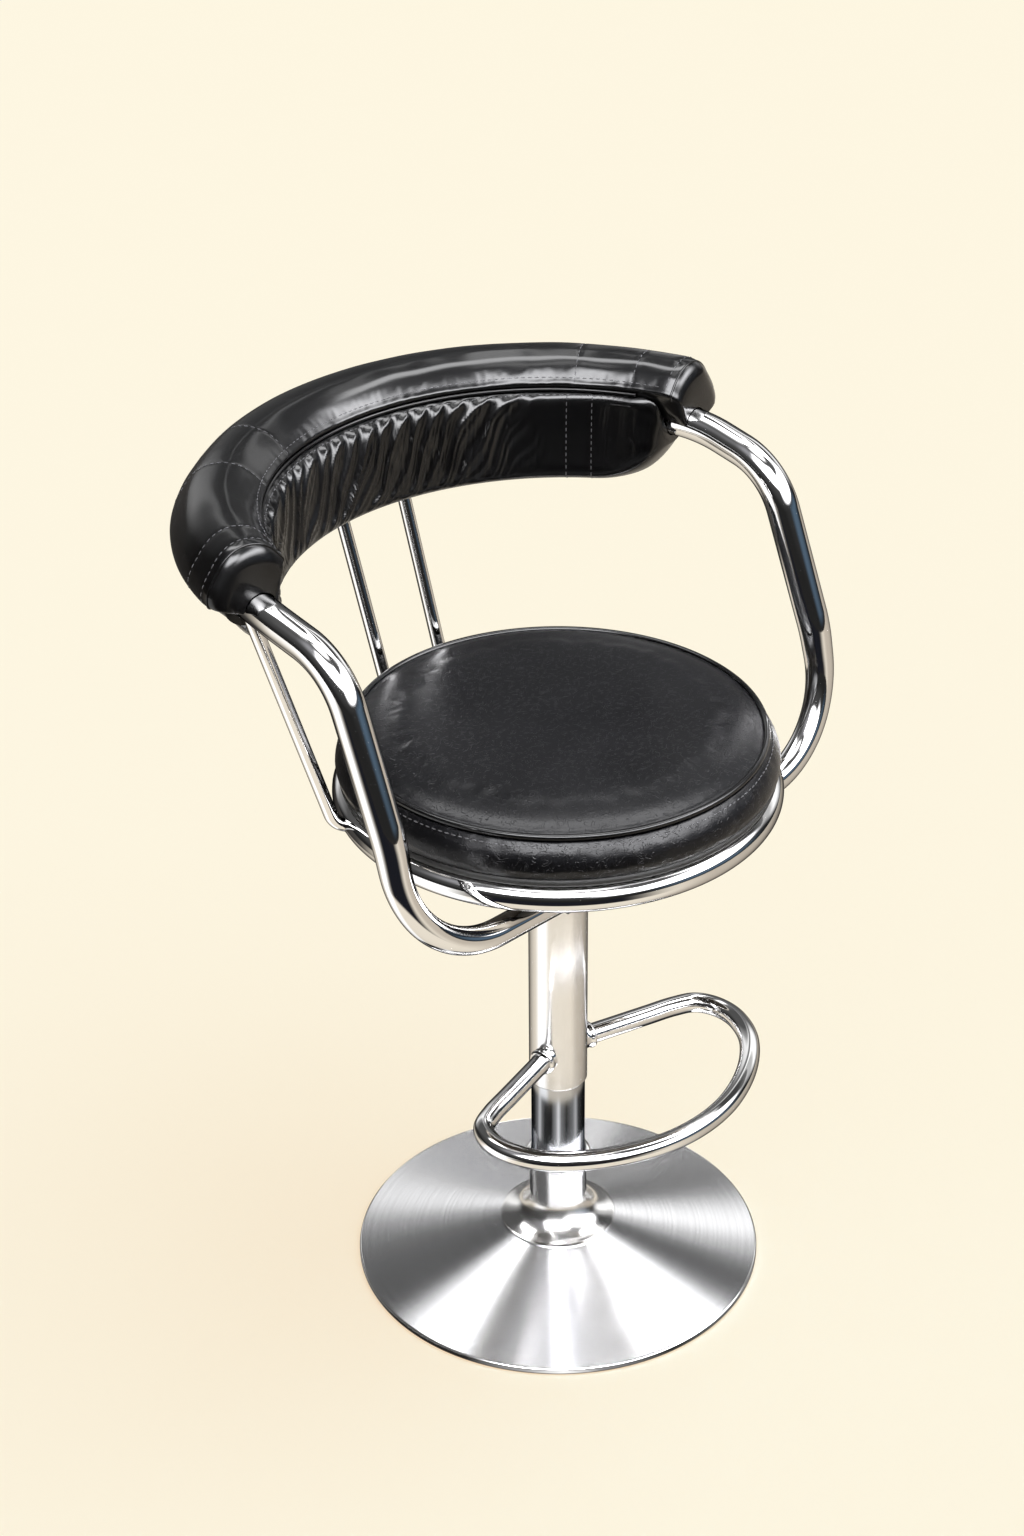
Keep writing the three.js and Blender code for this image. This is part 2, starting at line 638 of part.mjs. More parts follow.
function buildChannel() {
  const inner = channel.innerWidth / 2;
  const outer = inner + channel.wall;
  const edge = outer + channel.flangeWidth;
  const edgeBottom = channelTop - channel.floor;
  const outline = [
    [-edge, edgeBottom], [-outer, edgeBottom], [-outer, channelBottom], [outer, channelBottom],
    [outer, edgeBottom], [edge, edgeBottom], [edge, channelTop], [inner, channelTop],
    [inner, channelBottom + channel.floor], [-inner, channelBottom + channel.floor],
    [-inner, channelTop], [-edge, channelTop],
  ];
  const shape = new THREE.Shape(outline.map(([y, z]) => new THREE.Vector2(y, z)));
  const body = new THREE.ExtrudeGeometry(shape, { depth: channel.length, bevelEnabled: false });
  body.rotateX(Math.PI / 2).rotateZ(Math.PI / 2).translate(-channel.length / 2, 0, 0);
  const pinHole = upright(
    0, 0, channelBottom - cutOverrun, channelBottom + channel.floor + cutOverrun, channel.pinHoleRadius);
  const pivotHole = bar(
    new THREE.Vector3(lever.pivotReach, -outer - cutOverrun, pivotHeight),
    new THREE.Vector3(lever.pivotReach, outer + cutOverrun, pivotHeight), lever.pinRadius + gap);
  const boltHoles = channelBoltPlaces().map((place) => boltHole(
    place, edgeBottom - cutOverrun, channelTop + cutOverrun, channelBolt));
  addPiece('mechanism_channel', cut(body, [pinHole, pivotHole, ...boltHoles]), 'steel');
  channelBoltPlaces().forEach((place, i) => {
    const headBottom = edgeBottom - gap - channelBolt.headHeight;
    const shankTop = boardBottom + channelBolt.grip;
    addPiece(`channel_bolt_${i + 1}`, bolt(place, headBottom, shankTop, channelBolt), 'steel');
  });
}

function leverOutline() {
  const bottom = pinTop + gap;
  const top = bottom + lever.thickness;
  const bend = lever.bendStart + lever.bendRun;
  const outline = new THREE.Shape();
  outline.moveTo(-lever.innerEnd, bottom);
  outline.lineTo(lever.pivotReach - lever.bossRadius, bottom);
  outline.lineTo(lever.pivotReach - lever.bossRadius / 2, pivotHeight - lever.bossRadius);
  outline.lineTo(lever.pivotReach + lever.bossRadius / 2, pivotHeight - lever.bossRadius);
  outline.lineTo(lever.pivotReach + lever.bossRadius, bottom);
  outline.lineTo(lever.bendStart, bottom);
  outline.lineTo(bend, bottom - lever.drop);
  outline.lineTo(lever.tail, bottom - lever.drop);
  outline.lineTo(lever.tail, bottom - lever.drop + lever.blade);
  outline.lineTo(bend, bottom - lever.drop + lever.blade);
  outline.lineTo(lever.bendStart, top);
  outline.lineTo(lever.pivotReach + lever.bossRadius, top);
  outline.lineTo(lever.pivotReach + lever.bossRadius / 2, pivotHeight + lever.bossRadius);
  outline.lineTo(lever.pivotReach - lever.bossRadius / 2, pivotHeight + lever.bossRadius);
  outline.lineTo(lever.pivotReach - lever.bossRadius, top);
  outline.lineTo(-lever.innerEnd, top);
  const bore = new THREE.Path();
  bore.absarc(lever.pivotReach, pivotHeight, lever.pinRadius + gap, 0, turn);
  outline.holes.push(bore);
  return outline;
}

function buildLever() {
  const body = new THREE.ExtrudeGeometry(leverOutline(), {
    depth: lever.width, bevelEnabled: false, curveSegments: 6,
  });
  body.rotateX(Math.PI / 2).translate(0, lever.width / 2, 0);
  addPiece('height_lever', closed(body), 'steel');
  const pinEnd = channel.innerWidth / 2 + channel.wall + lever.pinOverhang;
  const pinRight = new THREE.Vector3(lever.pivotReach, -pinEnd, pivotHeight);
  const pinLeft = new THREE.Vector3(lever.pivotReach, pinEnd, pivotHeight);
  addPiece('lever_pin', bar(pinRight, pinLeft, lever.pinRadius, facets.bolt), 'steel');
  const bladeBottom = pinTop + gap - lever.drop;
  const middle = bladeBottom + lever.blade / 2;
  const plan = roundedPlan(grip.start, grip.end, grip.width, grip.corner);
  const block = new THREE.ExtrudeGeometry(plan, {
    depth: grip.height, bevelEnabled: false, curveSegments: 4,
  });
  block.translate(0, 0, middle - grip.height / 2);
  const socket = new THREE.BoxGeometry(
    lever.tail - grip.start + gap + cutOverrun, lever.width + gap * 2, lever.blade + gap * 2);
  socket.translate((lever.tail + gap + grip.start - cutOverrun) / 2, 0, middle);
  addPiece('lever_grip', cut(block, [socket]), 'plastic');
}

function roundedPlan(start, end, width, corner) {
  const half = width / 2;
  const plan = new THREE.Shape();
  plan.moveTo(start + corner, -half);
  plan.lineTo(end - corner, -half);
  plan.absarc(end - corner, -half + corner, corner, -Math.PI / 2, 0);
  plan.lineTo(end, half - corner);
  plan.absarc(end - corner, half - corner, corner, 0, Math.PI / 2);
  plan.lineTo(start + corner, half);
  plan.absarc(start + corner, half - corner, corner, Math.PI / 2, Math.PI);
  plan.lineTo(start, -half + corner);
  plan.absarc(start + corner, -half + corner, corner, Math.PI, Math.PI * 1.5);
  return plan;
}

// Seat structure

function saddleScrewPlaces() {
  const places = [];
  for (const x of [saddle.reach, -saddle.reach]) {
    for (const y of [saddle.screwOffset, -saddle.screwOffset]) places.push([x, -frame.crossReach + y]);
  }
  return places;
}

function spiderOutline() {
  const ringFace = seatRing.radius - Math.sqrt(
    seatRing.tubeRadius ** 2 - (spiderBottom + spider.thickness - ringHeight) ** 2);
  const tip = ringFace * Math.cos(Math.PI / facets.ring) - gap;
  const root = Math.asin(spider.armHalfWidth / spider.middleRadius);
  const end = Math.asin(spider.armHalfWidth / tip);
  const outline = new THREE.Shape();
  for (let arm = 0; arm < spider.armCount; arm++) {
    const middle = (turn * (arm + 0.5)) / spider.armCount;
    if (arm === 0) outline.moveTo(...polar(spider.middleRadius, middle - root));
    outline.lineTo(...polar(tip, middle - end));
    outline.absarc(0, 0, tip, middle - end, middle + end);
    outline.lineTo(...polar(spider.middleRadius, middle + root));
    outline.absarc(0, 0, spider.middleRadius, middle + root, middle + turn / spider.armCount - root);
  }
  return outline;
}

function buildSpider() {
  const outline = spiderOutline();
  const holes = [
    ...channelBoltPlaces().map((place) => [...place, channelBolt.radius + gap]),
    ...saddleScrewPlaces().map((place) => [...place, saddleScrew.radius + gap]),
  ];
  for (const [x, y, radius] of holes) {
    const hole = new THREE.Path();
    hole.absarc(x, y, radius, 0, turn);
    outline.holes.push(hole);
  }
  const plate = new THREE.ExtrudeGeometry(outline, {
    depth: spider.thickness, bevelEnabled: false, curveSegments: facets.bolt / 2,
  });
  addPiece('seat_spider', closed(plate.translate(0, 0, spiderBottom)), 'steel');
}

function buildSaddles() {
  const top = spiderBottom - gap;
  const bottom = crossHeight + saddle.skirt;
  const saddles = [['crossbar_saddle_left', saddle.reach], ['crossbar_saddle_right', -saddle.reach]];
  for (const [name, x] of saddles) {
    const block = new THREE.BoxGeometry(saddle.length, saddle.width, top - bottom);
    block.translate(x, -frame.crossReach, (top + bottom) / 2);
    const reach = saddle.length / 2 + cutOverrun;
    const groove = bar(
      new THREE.Vector3(x - reach, -frame.crossReach, crossHeight),
      new THREE.Vector3(x + reach, -frame.crossReach, crossHeight), frame.thinRadius + gap * 2);
    const holes = saddleScrewPlaces().map((place) => boltHole(
      place, bottom - cutOverrun, top + cutOverrun, saddleScrew));
    addPiece(name, cut(block, [groove, ...holes]), 'steel');
  }
  saddleScrewPlaces().forEach((place, i) => {
    const headBottom = bottom - gap - saddleScrew.headHeight;
    const shankTop = boardBottom + saddleScrew.grip;
    addPiece(`saddle_screw_${i + 1}`, bolt(place, headBottom, shankTop, saddleScrew), 'steel');
  });
}

// Seat: board, ring, cushion, welt and bead

function buildSeat() {
  const boardHole = (size) => (place) => boltHole(
    place, boardBottom - cutOverrun, boardBottom + size.grip + gap, size);
  const holes = [
    ...channelBoltPlaces().map(boardHole(channelBolt)),
    ...saddleScrewPlaces().map(boardHole(saddleScrew)),
  ];
  addPiece('seat_board', cut(turnedDisc(boardRadius, boardBottom, boardTop), holes), 'plywood');
  addPiece('seat_ring', torus(
    seatRing.radius, seatRing.tubeRadius, ringHeight, facets.ring, facets.tube), 'chrome');
  addPiece('seat_cushion', lathe(cushionProfile(), facets.large), 'leather');
  addPiece('seat_welt', torus(
    seamRadius, seatWelt.tubeRadius, seamHeight, facets.large, facets.head), 'leather');
  addPiece('seat_bead', torus(
    beadRadius, seatBead.tubeRadius, beadHeight, facets.large, facets.head), 'rubber');
}

function cushionProfile() {
  const widest = seatRing.radius + cushion.widestOutset;
  const widestHeight = boardTop + cushion.widestRise;
  const crownTop = seamHeight + cushion.crownRise;
  const beadReach = seatBead.tubeRadius + cushion.clearance;
  const footHeight = beadHeight + beadReach;
  const beadShares = [[-1.15, -0.25], [-0.9, 0.75]];
  const beadSide = beadShares.map(([out, up]) => [
    beadRadius + beadReach * out, beadHeight + beadReach * up]);
  const bulgeShares = [[0.72, 0.22], [0.97, 0.55], [1, 1]];
  const bulge = bulgeShares.map(([out, up]) => [
    lerp(beadRadius, widest, out), lerp(footHeight, widestHeight, up)]);
  const notch = seatWelt.tubeRadius + cushion.clearance;
  const drawnShares = [[0.93, 0.3], [0.72, 0.6], [0.38, 0.87]];
  const drawn = drawnShares.map(([out, up]) => [
    lerp(seamRadius, widest, out), lerp(widestHeight, seamHeight - notch, up)]);
  const crownShares = [[0.96, 0.33], [0.88, 0.56], [0.72, 0.78], [0.45, 0.94], [0, 1]];
  const crown = crownShares.map(([out, up]) => [
    seamRadius * out, lerp(seamHeight + notch, crownTop, up)]);
  return [
    [0, boardTop + gap], [boardRadius, boardTop + gap], ...beadSide,
    [beadRadius, footHeight], ...bulge, ...drawn, ...weltNotch(notch), ...crown,
  ];
}

// The groove that the welt lies in, from below it round its inner side to above it.
function weltNotch(clearRadius) {
  const steps = 4;
  const reach = clearRadius / Math.cos(Math.PI / steps / 2);
  const groove = [];
  for (let i = 0; i <= steps; i++) {
    const angle = -Math.PI * 0.4 - (Math.PI * i) / steps;
    const [out, up] = polar(reach, angle);
    groove.push([seamRadius + out, seamHeight + up]);
  }
  return groove;
}

// Frame tube: under the seat, up both arms and round inside the backrest

function armPath() {
  const x = frame.armHalfWidth;
  const kneeHeight = crossHeight + frame.kneeRise;
  const elbowHeight = crossHeight + frame.elbowRise;
  return filletedPath([
    { at: new THREE.Vector3(0, -frame.crossReach, crossHeight) },
    { at: new THREE.Vector3(x, -frame.crossReach, crossHeight), radius: frame.crossRadius },
    { at: new THREE.Vector3(x, -frame.kneeReach, kneeHeight), radius: frame.kneeRadius },
    { at: new THREE.Vector3(x, -frame.elbowReach, elbowHeight), radius: frame.elbowRadius },
    { at: new THREE.Vector3(x, frame.backStart, backHeight - frame.backDrop) },
  ]);
}

// The back stretch is half an ellipse in plan. It is level, and dips a little where it meets the arms.
function backPoint(angle) {
  const along = Math.abs(Math.PI / 2 - Math.abs(angle)) * frame.backDepth;
  const near = clamp(1 - along / frame.blendLength, 0, 1);
  return new THREE.Vector3(
    frame.armHalfWidth * Math.sin(angle),
    frame.backStart + frame.backDepth * Math.cos(angle),
    backHeight - frame.backDrop * near * near);
}

function backPath(steps) {
  const path = [];
  for (let i = 1; i < steps; i++) path.push(backPoint(Math.PI / 2 - (Math.PI * i) / steps));
  return path;
}

// Thick on the arms and in the backrest, thin under the seat.
function frameRadius(point) {
  const raised = THREE.MathUtils.smoothstep(
    point.z, crossHeight + frame.taperStartRise, crossHeight + frame.taperEndRise);
  return lerp(frame.thinRadius, frame.thickRadius, raised);
}

const backSteps = 40;

function framePath() {
  const arm = armPath();
  const otherArm = mirrored(arm);
  return [...arm, ...backPath(backSteps), ...otherArm.slice(0, -1)];
}

function buildFrame() {
  addPiece('frame_tube', sweptTube(framePath(), frameRadius, facets.tube, true), 'chrome');
}

// Back rods, each with a brazed foot at the seat ring

function rodPoint(bearingDegrees, reach, height) {
  const angle = radians(bearingDegrees);
  return new THREE.Vector3(reach * Math.sin(angle), reach * Math.cos(angle), height);
}

function rodPath({ lowerDegrees, upperDegrees, reachShare }) {
  const lowerHeight = ringHeight + rod.lowerRise;
  const upperHeight = backHeight - rod.upperDrop;
  const reach = reachShare * toEllipse(
    radians(upperDegrees), frame.backStart, frame.armHalfWidth, frame.backDepth);
  const lower = rodPoint(lowerDegrees, seatRing.radius + rod.lowerOutset, lowerHeight);
  const upper = rodPoint(upperDegrees, reach, upperHeight);
  const slope = upper.clone().sub(lower).divideScalar(upperHeight - lowerHeight);
  const top = upper.clone().addScaledVector(slope, rod.upperDrop);
  const knee = lower.clone().addScaledVector(slope, -rod.lowerRise - rod.footDrop);
  const foot = rodPoint(lowerDegrees, seatRing.radius, ringHeight);
  return filletedPath([{ at: foot }, { at: knee, radius: rod.bendRadius }, { at: top }], 0.25);
}

// Splits a path at a distance from its start.
function splitPath(path, distance) {
  let walked = 0;
  for (let i = 1; i < path.length; i++) {
    const step = path[i].distanceTo(path[i - 1]);
    if (walked + step > distance) {
      const at = path[i - 1].clone().lerp(path[i], (distance - walked) / step);
      return [[...path.slice(0, i), at], [at.clone(), ...path.slice(i)]];
    }
    walked += step;
  }
  throw new Error('the path is shorter than the split');
}

// The straight upper stretch of a rod, a little thicker, to cut its hole with.
function rodTool(line) {
  const upper = rodPath(line).slice(-2);
  return bar(...upper, rod.radius + gap * 2, facets.tube);
}

// The frame tube's back stretch, a little thicker, to shape the rods' tops with.
function backStretchTool() {
  const path = framePath().filter((point) => point.y > frame.backStart);
  return sweptTube(path, (point) => frameRadius(point) + gap, facets.small);
}

function buildRods() {
  const ringTool = torus(
    seatRing.radius, seatRing.tubeRadius + gap, ringHeight, facets.ring * 2, facets.small);
  const tubeTool = backStretchTool();
  for (const [name, line] of Object.entries(rodLines)) {
    const [footPath, upperPath] = splitPath(rodPath(line), seatRing.tubeRadius + rod.footLength);
    const onward = upperPath[1].clone().sub(upperPath[0]).normalize();
    upperPath[0].addScaledVector(onward, gap);
    const foot = sweptTube(footPath, () => rod.radius, facets.tube);
    addPiece(`${name}_foot`, cut(foot, [ringTool]), 'chrome');
    const upper = sweptTube(upperPath, () => rod.radius, facets.tube);
    addPiece(name, cut(upper, [tubeTool]), 'chrome');
  }
}

// Backrest: a roll on top of the frame tube and a panel that hangs inside and under it

const backCentreY = frame.backStart - back.centreShift;

// Distance from a centre to an ellipse, on the ray at this angle. The ellipse's own centre lies this
// far behind that centre.
function toEllipse(angle, behind, halfWidth, depth) {
  const a = (Math.sin(angle) / halfWidth) ** 2 + (Math.cos(angle) / depth) ** 2;
  const b = (behind * Math.cos(angle)) / depth ** 2;
  const c = (behind / depth) ** 2 - 1;
  return (b + Math.sqrt(b * b - a * c)) / a;
}

// Distance from the backrest's centre to an ellipse that is wider, deeper and shifted forwards by
// these sizes beside the frame tube's.
function toOutline(angle, wider, deeper, shift) {
  return toEllipse(
    angle, back.centreShift - shift, frame.armHalfWidth + wider, frame.backDepth + deeper);
}

function toFrameTube(angle) {
  return toOutline(angle, 0, 0, 0);
}

function tubeHeightAt(angle) {
  const reach = toFrameTube(angle);
  const y = backCentreY + reach * Math.cos(angle);
  const shape = Math.acos(clamp((y - frame.backStart) / frame.backDepth, -1, 1));
  return backPoint(shape).z;
}

function measuresAt(angle, endAngle) {
  const tube = toFrameTube(angle);
  return {
    angle,
    tube,
    tubeHeight: tubeHeightAt(angle),
    seam: toOutline(angle, -back.seamNarrower, back.seamDeeper, back.seamShift) - tube,
    inner: toOutline(angle, -back.innerNarrower, back.innerDeeper, back.innerShift) - tube,
    outer: toOutline(angle, back.outerWider, back.outerDeeper, back.outerShift) - tube,
    nose: endShare(angle, endAngle, back.noseAngle),
    lift: endShare(angle, endAngle, back.liftAngle),
  };
}

// 1 along the backrest, and round down to 0 over the last stretch before each end.
function endShare(angle, endAngle, stretch) {
  const past = (Math.abs(angle) - radians(endAngle - stretch)) / radians(stretch);
  return Math.sqrt(1 - clamp(past, 0, 1) ** 2);
}

// Points round the tube's groove. Its flat facets stay clear of the tube.
function grooveArc(fromDegrees, toDegrees) {
  const step = (toDegrees - fromDegrees) / grooveSteps;
  const radius = (frame.thickRadius + back.clearance) / Math.cos(radians(step / 2));
  return evenAngles(fromDegrees, toDegrees, grooveSteps).map(radians).map((angle) => [
    radius * Math.cos(angle), radius * Math.sin(angle)]);
}

// Draws a point of a section in towards the tube near the ends, down to the cuff's radius.
function drawnIn([out, up], share) {
  const reach = Math.hypot(out, up);
  const kept = Math.min(reach, back.cuffRadius) + Math.max(0, reach - back.cuffRadius) * share;
  return [(out * kept) / reach, (up * kept) / reach];
}

const grooveSteps = 5;
// Where the roll and the panel meet, under the seam and along the outer edge
const seamInShare = 0.03;
const seamDropShares = { roll: 0.86, panel: 0.8, welt: 0.865 };
const edgeShares = { roll: [0.94, 0.6], panel: [0.93, 0.53] };

function edgePoint(m, [out, up]) {
  return [lerp(m.seam, m.outer, out), frame.thickRadius * up];
}

// Points over the roll: how far out from the seam, and how far up to its crown or down to its edge
const rollShares = [
  [0, 0], [0.05, 0.42], [0.14, 0.75], [0.28, 0.95], [0.45, 1], [0.62, 0.9], [0.77, 0.55],
  [0.88, 0.05], [0.955, -0.31], [1, -0.69], [0.985, -0.95],
];

function rollSection(m) {
  const edge = edgePoint(m, edgeShares.roll);
  const over = rollShares.map(([out, up]) => [
    lerp(m.seam, m.outer, out), lerp(back.seamRise, up > 0 ? back.rollRise : edge[1], Math.abs(up))]);
  const seam = [lerp(m.seam, m.outer, seamInShare), back.seamRise * seamDropShares.roll];
  const outline = [seam, ...over, edge].map((point) => drawnIn(point, m.nose));
  return [...outline, ...grooveArc(8, 167)].reverse();
}

// Points of the panel's face: how far in, how far up or down, and how much of the gathers they take
const faceShares = [[0.55, 0.68, 0.75], [0.9, 0.24, 1], [1.02, -0.3, 1], [1.06, -0.72, 0.7]];
// Points of its underside where it hangs full, in shares of its thickness and depth, and at its
// ends, in shares of the cuff's radius
const undersideShares = [
  [[0.08, 0.93], [-0.66, -0.93]], [[0.5, 1], [-0.33, -1]], [[1.1, 0.965], [0.16, -0.965]],
];
const wrapOutShare = 0.75;
const wrapEndShare = -0.9;

// foldAt gives the depth of the gathers at an angle. They lean, so it is read further on lower down.
// Towards each end the outline closes in on a half cuff round the tube's underside.
function panelSection(m, foldAt) {
  const bottom = lerp(-back.cuffRadius, -back.panelDrop, m.lift);
  const face = faceShares.map(([inward, up, fold]) => {
    const lean = radians((gathers.leanAngle * (1 - up)) / 2);
    const rise = up > 0 ? back.seamRise * up : -bottom * up;
    return [lerp(m.seam, m.inner, inward) - foldAt(m.angle + lean) * fold * m.lift, rise];
  });
  const underside = undersideShares.map(([full, end]) => [
    lerp(back.cuffRadius * end[0], m.inner + back.panelThickness * full[0], m.lift),
    lerp(back.cuffRadius * end[1], -back.panelDrop * full[1], m.lift),
  ]);
  const wrapEnd = back.cuffRadius * wrapEndShare;
  const wrap = [frame.thickRadius * wrapOutShare, lerp(wrapEnd, -back.wrapDrop, m.lift)];
  const seam = [lerp(m.seam, m.outer, seamInShare), back.seamRise * seamDropShares.panel];
  const outline = [seam, ...face, ...underside, wrap, edgePoint(m, edgeShares.panel)];
  const closedIn = outline.map((point, k) => {
    const [out, up] = polar(back.cuffRadius, Math.PI * (1 + k / (outline.length - 1)));
    return [lerp(out, point[0], m.nose), lerp(up, point[1], m.nose)];
  });
  return [...closedIn, ...grooveArc(-4, -171)];
}

function placeSection(section, m) {
  return section.map(([out, up]) => new THREE.Vector3(
    (m.tube + out) * Math.sin(m.angle),
    backCentreY + (m.tube + out) * Math.cos(m.angle),
    m.tubeHeight + up));
}

// Angles of the sections: some close together in each rounded end, and the given ones between.
function withEnds(between, endAngle) {
  const plain = endAngle - back.noseAngle;
  const noseShares = [1, 0.93, 0.75, 0.4];
  const ends = noseShares.map((share) => plain + back.noseAngle * share);
  return [...ends.map((angle) => -angle), ...between, ...ends.slice().reverse()].map(radians);
}

function evenAngles(from, to, count) {
  return Array.from({ length: count + 1 }, (_, i) => lerp(from, to, i / count));
}

// How far the gathers push the panel's face in or out at an angle.
function foldAt(angle) {
  const degrees = THREE.MathUtils.radToDeg(angle);
  const start = back.noseAngle - back.panelEndAngle;
  const fading = clamp((gathers.endAngle - degrees) / gathers.fadeAngle, 0, 1);
  const phase = ((degrees - start) / (gathers.endAngle - start)) * gathers.count;
  return gathers.depth * fading * Math.cos(turn * phase);
}

const rollStations = 28;
const stationsPerFold = 3;
const smoothStations = 6;
const weltStations = 30;

function loftBackrest(between, endAngle, sectionOf) {
  const measures = withEnds(between, endAngle).map((angle) => measuresAt(angle, endAngle));
  const flat = measures.map(sectionOf);
  const sections = measures.map((m, i) => placeSection(flat[i], m));
  const outline = (section) => section.map(([out, up]) => new THREE.Vector2(out, up));
  return loft(sections, [outline(flat[0]), outline(flat[flat.length - 1])]);
}

function buildBackrest() {
  const { rollEndAngle, panelEndAngle, noseAngle } = back;
  const rollPlain = rollEndAngle - noseAngle;
  const rollAngles = evenAngles(-rollPlain, rollPlain, rollStations);
  addPiece('back_roll', loftBackrest(rollAngles, rollEndAngle, rollSection), 'leather');
  const plain = panelEndAngle - noseAngle;
  const gathered = evenAngles(-plain, gathers.endAngle, gathers.count * stationsPerFold);
  const smooth = evenAngles(gathers.endAngle, plain, smoothStations).slice(1);
  const panel = loftBackrest([...gathered, ...smooth], panelEndAngle, (m) => panelSection(m, foldAt));
  addPiece('back_panel', cut(panel, Object.values(rodLines).map(rodTool)), 'leather');
  const weltPath = evenAngles(-plain, plain, weltStations).map(radians).map((angle) => {
    const m = measuresAt(angle, rollEndAngle);
    return placeSection([[m.seam, back.seamRise * seamDropShares.welt]], m)[0];
  });
  addPiece('back_welt', sweptTube(weltPath, () => backWelt.tubeRadius, facets.head), 'leather');
}

buildBase();
buildColumn();
buildBearing();
buildPistonRod();
buildLift();
buildFootrest();
buildChannel();
buildLever();
buildSpider();
buildSaddles();
buildSeat();
buildFrame();
buildRods();
buildBackrest();

export default stool;
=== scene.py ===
import json
import math

import bmesh
import bpy
from mathutils import Matrix, Vector, noise
from mathutils.bvhtree import BVHTree


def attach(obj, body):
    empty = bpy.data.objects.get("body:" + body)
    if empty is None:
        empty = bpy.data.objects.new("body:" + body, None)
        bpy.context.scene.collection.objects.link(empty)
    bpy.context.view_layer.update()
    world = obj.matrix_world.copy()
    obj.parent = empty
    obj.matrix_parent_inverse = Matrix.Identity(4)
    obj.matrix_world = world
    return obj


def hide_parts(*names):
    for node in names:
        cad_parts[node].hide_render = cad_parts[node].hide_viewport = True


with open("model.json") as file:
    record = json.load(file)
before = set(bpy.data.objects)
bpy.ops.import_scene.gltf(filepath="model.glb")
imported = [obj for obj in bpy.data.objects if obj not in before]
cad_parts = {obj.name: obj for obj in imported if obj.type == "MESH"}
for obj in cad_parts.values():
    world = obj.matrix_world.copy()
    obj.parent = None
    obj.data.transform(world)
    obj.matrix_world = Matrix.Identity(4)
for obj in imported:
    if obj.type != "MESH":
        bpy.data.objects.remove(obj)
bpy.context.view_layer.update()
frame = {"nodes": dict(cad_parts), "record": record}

# Counter stool: metres, +Z up, the chair faces -Y and +X is to the sitter's left.

fullTurn = math.tau
degree = 180 / math.pi
weldDistance = 1e-6
slotOf = {part["node"]: part["material_slot"] for part in frame["record"]["subparts"]}


def lerp(low, high, share):
    return low + (high - low) * share


def clamp(value, low=0.0, high=1.0):
    return max(low, min(high, value))


def smooth(low, high, value):
    share = clamp((value - low) / (high - low))
    return share * share * (3 - 2 * share)


# Makes a shader node. Each input is a value or another node's socket.
def addNode(tree, kind, inputs=None, **settings):
    made = tree.nodes.new("ShaderNode" + kind)
    for key, value in settings.items():
        setattr(made, key, value)
    for key, value in (inputs or {}).items():
        if isinstance(value, bpy.types.NodeSocket):
            tree.links.new(value, made.inputs[key])
        else:
            made.inputs[key].default_value = value
    return made


def math2(tree, operation, first, second=0.0, third=0.0):
    return addNode(tree, "Math", {0: first, 1: second, 2: third}, operation=operation).outputs[0]


def ramp(tree, value, low, high, start=0.0, end=1.0):
    fitted = addNode(tree, "MapRange", {
        "Value": value, "From Min": low, "From Max": high, "To Min": start, "To Max": end,
    }, interpolation_type="SMOOTHSTEP")
    return fitted.outputs["Result"]


def times(tree, first, second):
    return math2(tree, "MULTIPLY", first, second)


# Mixes two colours. One given as three numbers is opaque.
def mixColor(tree, share, *colors):
    first, second = ((*c, 1) if isinstance(c, tuple) else c for c in colors)
    mixed = addNode(tree, "Mix", {0: share, 6: first, 7: second}, data_type="RGBA")
    return mixed.outputs[2]


def stretchedBy(tree, vector, scale):
    return addNode(tree, "Mapping", {"Vector": vector, "Scale": scale}).outputs["Vector"]


def lengthOf(tree, vector):
    return addNode(tree, "VectorMath", {0: vector}, operation="LENGTH").outputs["Value"]


def newGroup(name, inputs, outputs):
    tree = bpy.data.node_groups.new(name, "ShaderNodeTree")
    for socket, kind, value in inputs:
        made = tree.interface.new_socket(socket, in_out="INPUT", socket_type="NodeSocket" + kind)
        if value is not None:
            made.default_value = value
    for socket, kind in outputs:
        tree.interface.new_socket(socket, in_out="OUTPUT", socket_type="NodeSocket" + kind)
    return tree, tree.nodes.new("NodeGroupInput"), tree.nodes.new("NodeGroupOutput")


def noiseOf(tree, vector, scale, detail=2.0, roughness=0.5):
    made = addNode(tree, "TexNoise", {
        "Vector": vector, "Scale": scale, "Detail": detail, "Roughness": roughness})
    return made.outputs["Fac"]


hideScales = {"bend": 52.0, "bands": 17.0, "breaks": 210.0, "pebbles": 620.0, "pores": 1900.0,
              "rub": 9.0}
hideHeights = {"crease": 0.13, "pebble": -0.22, "pore": 0.05}


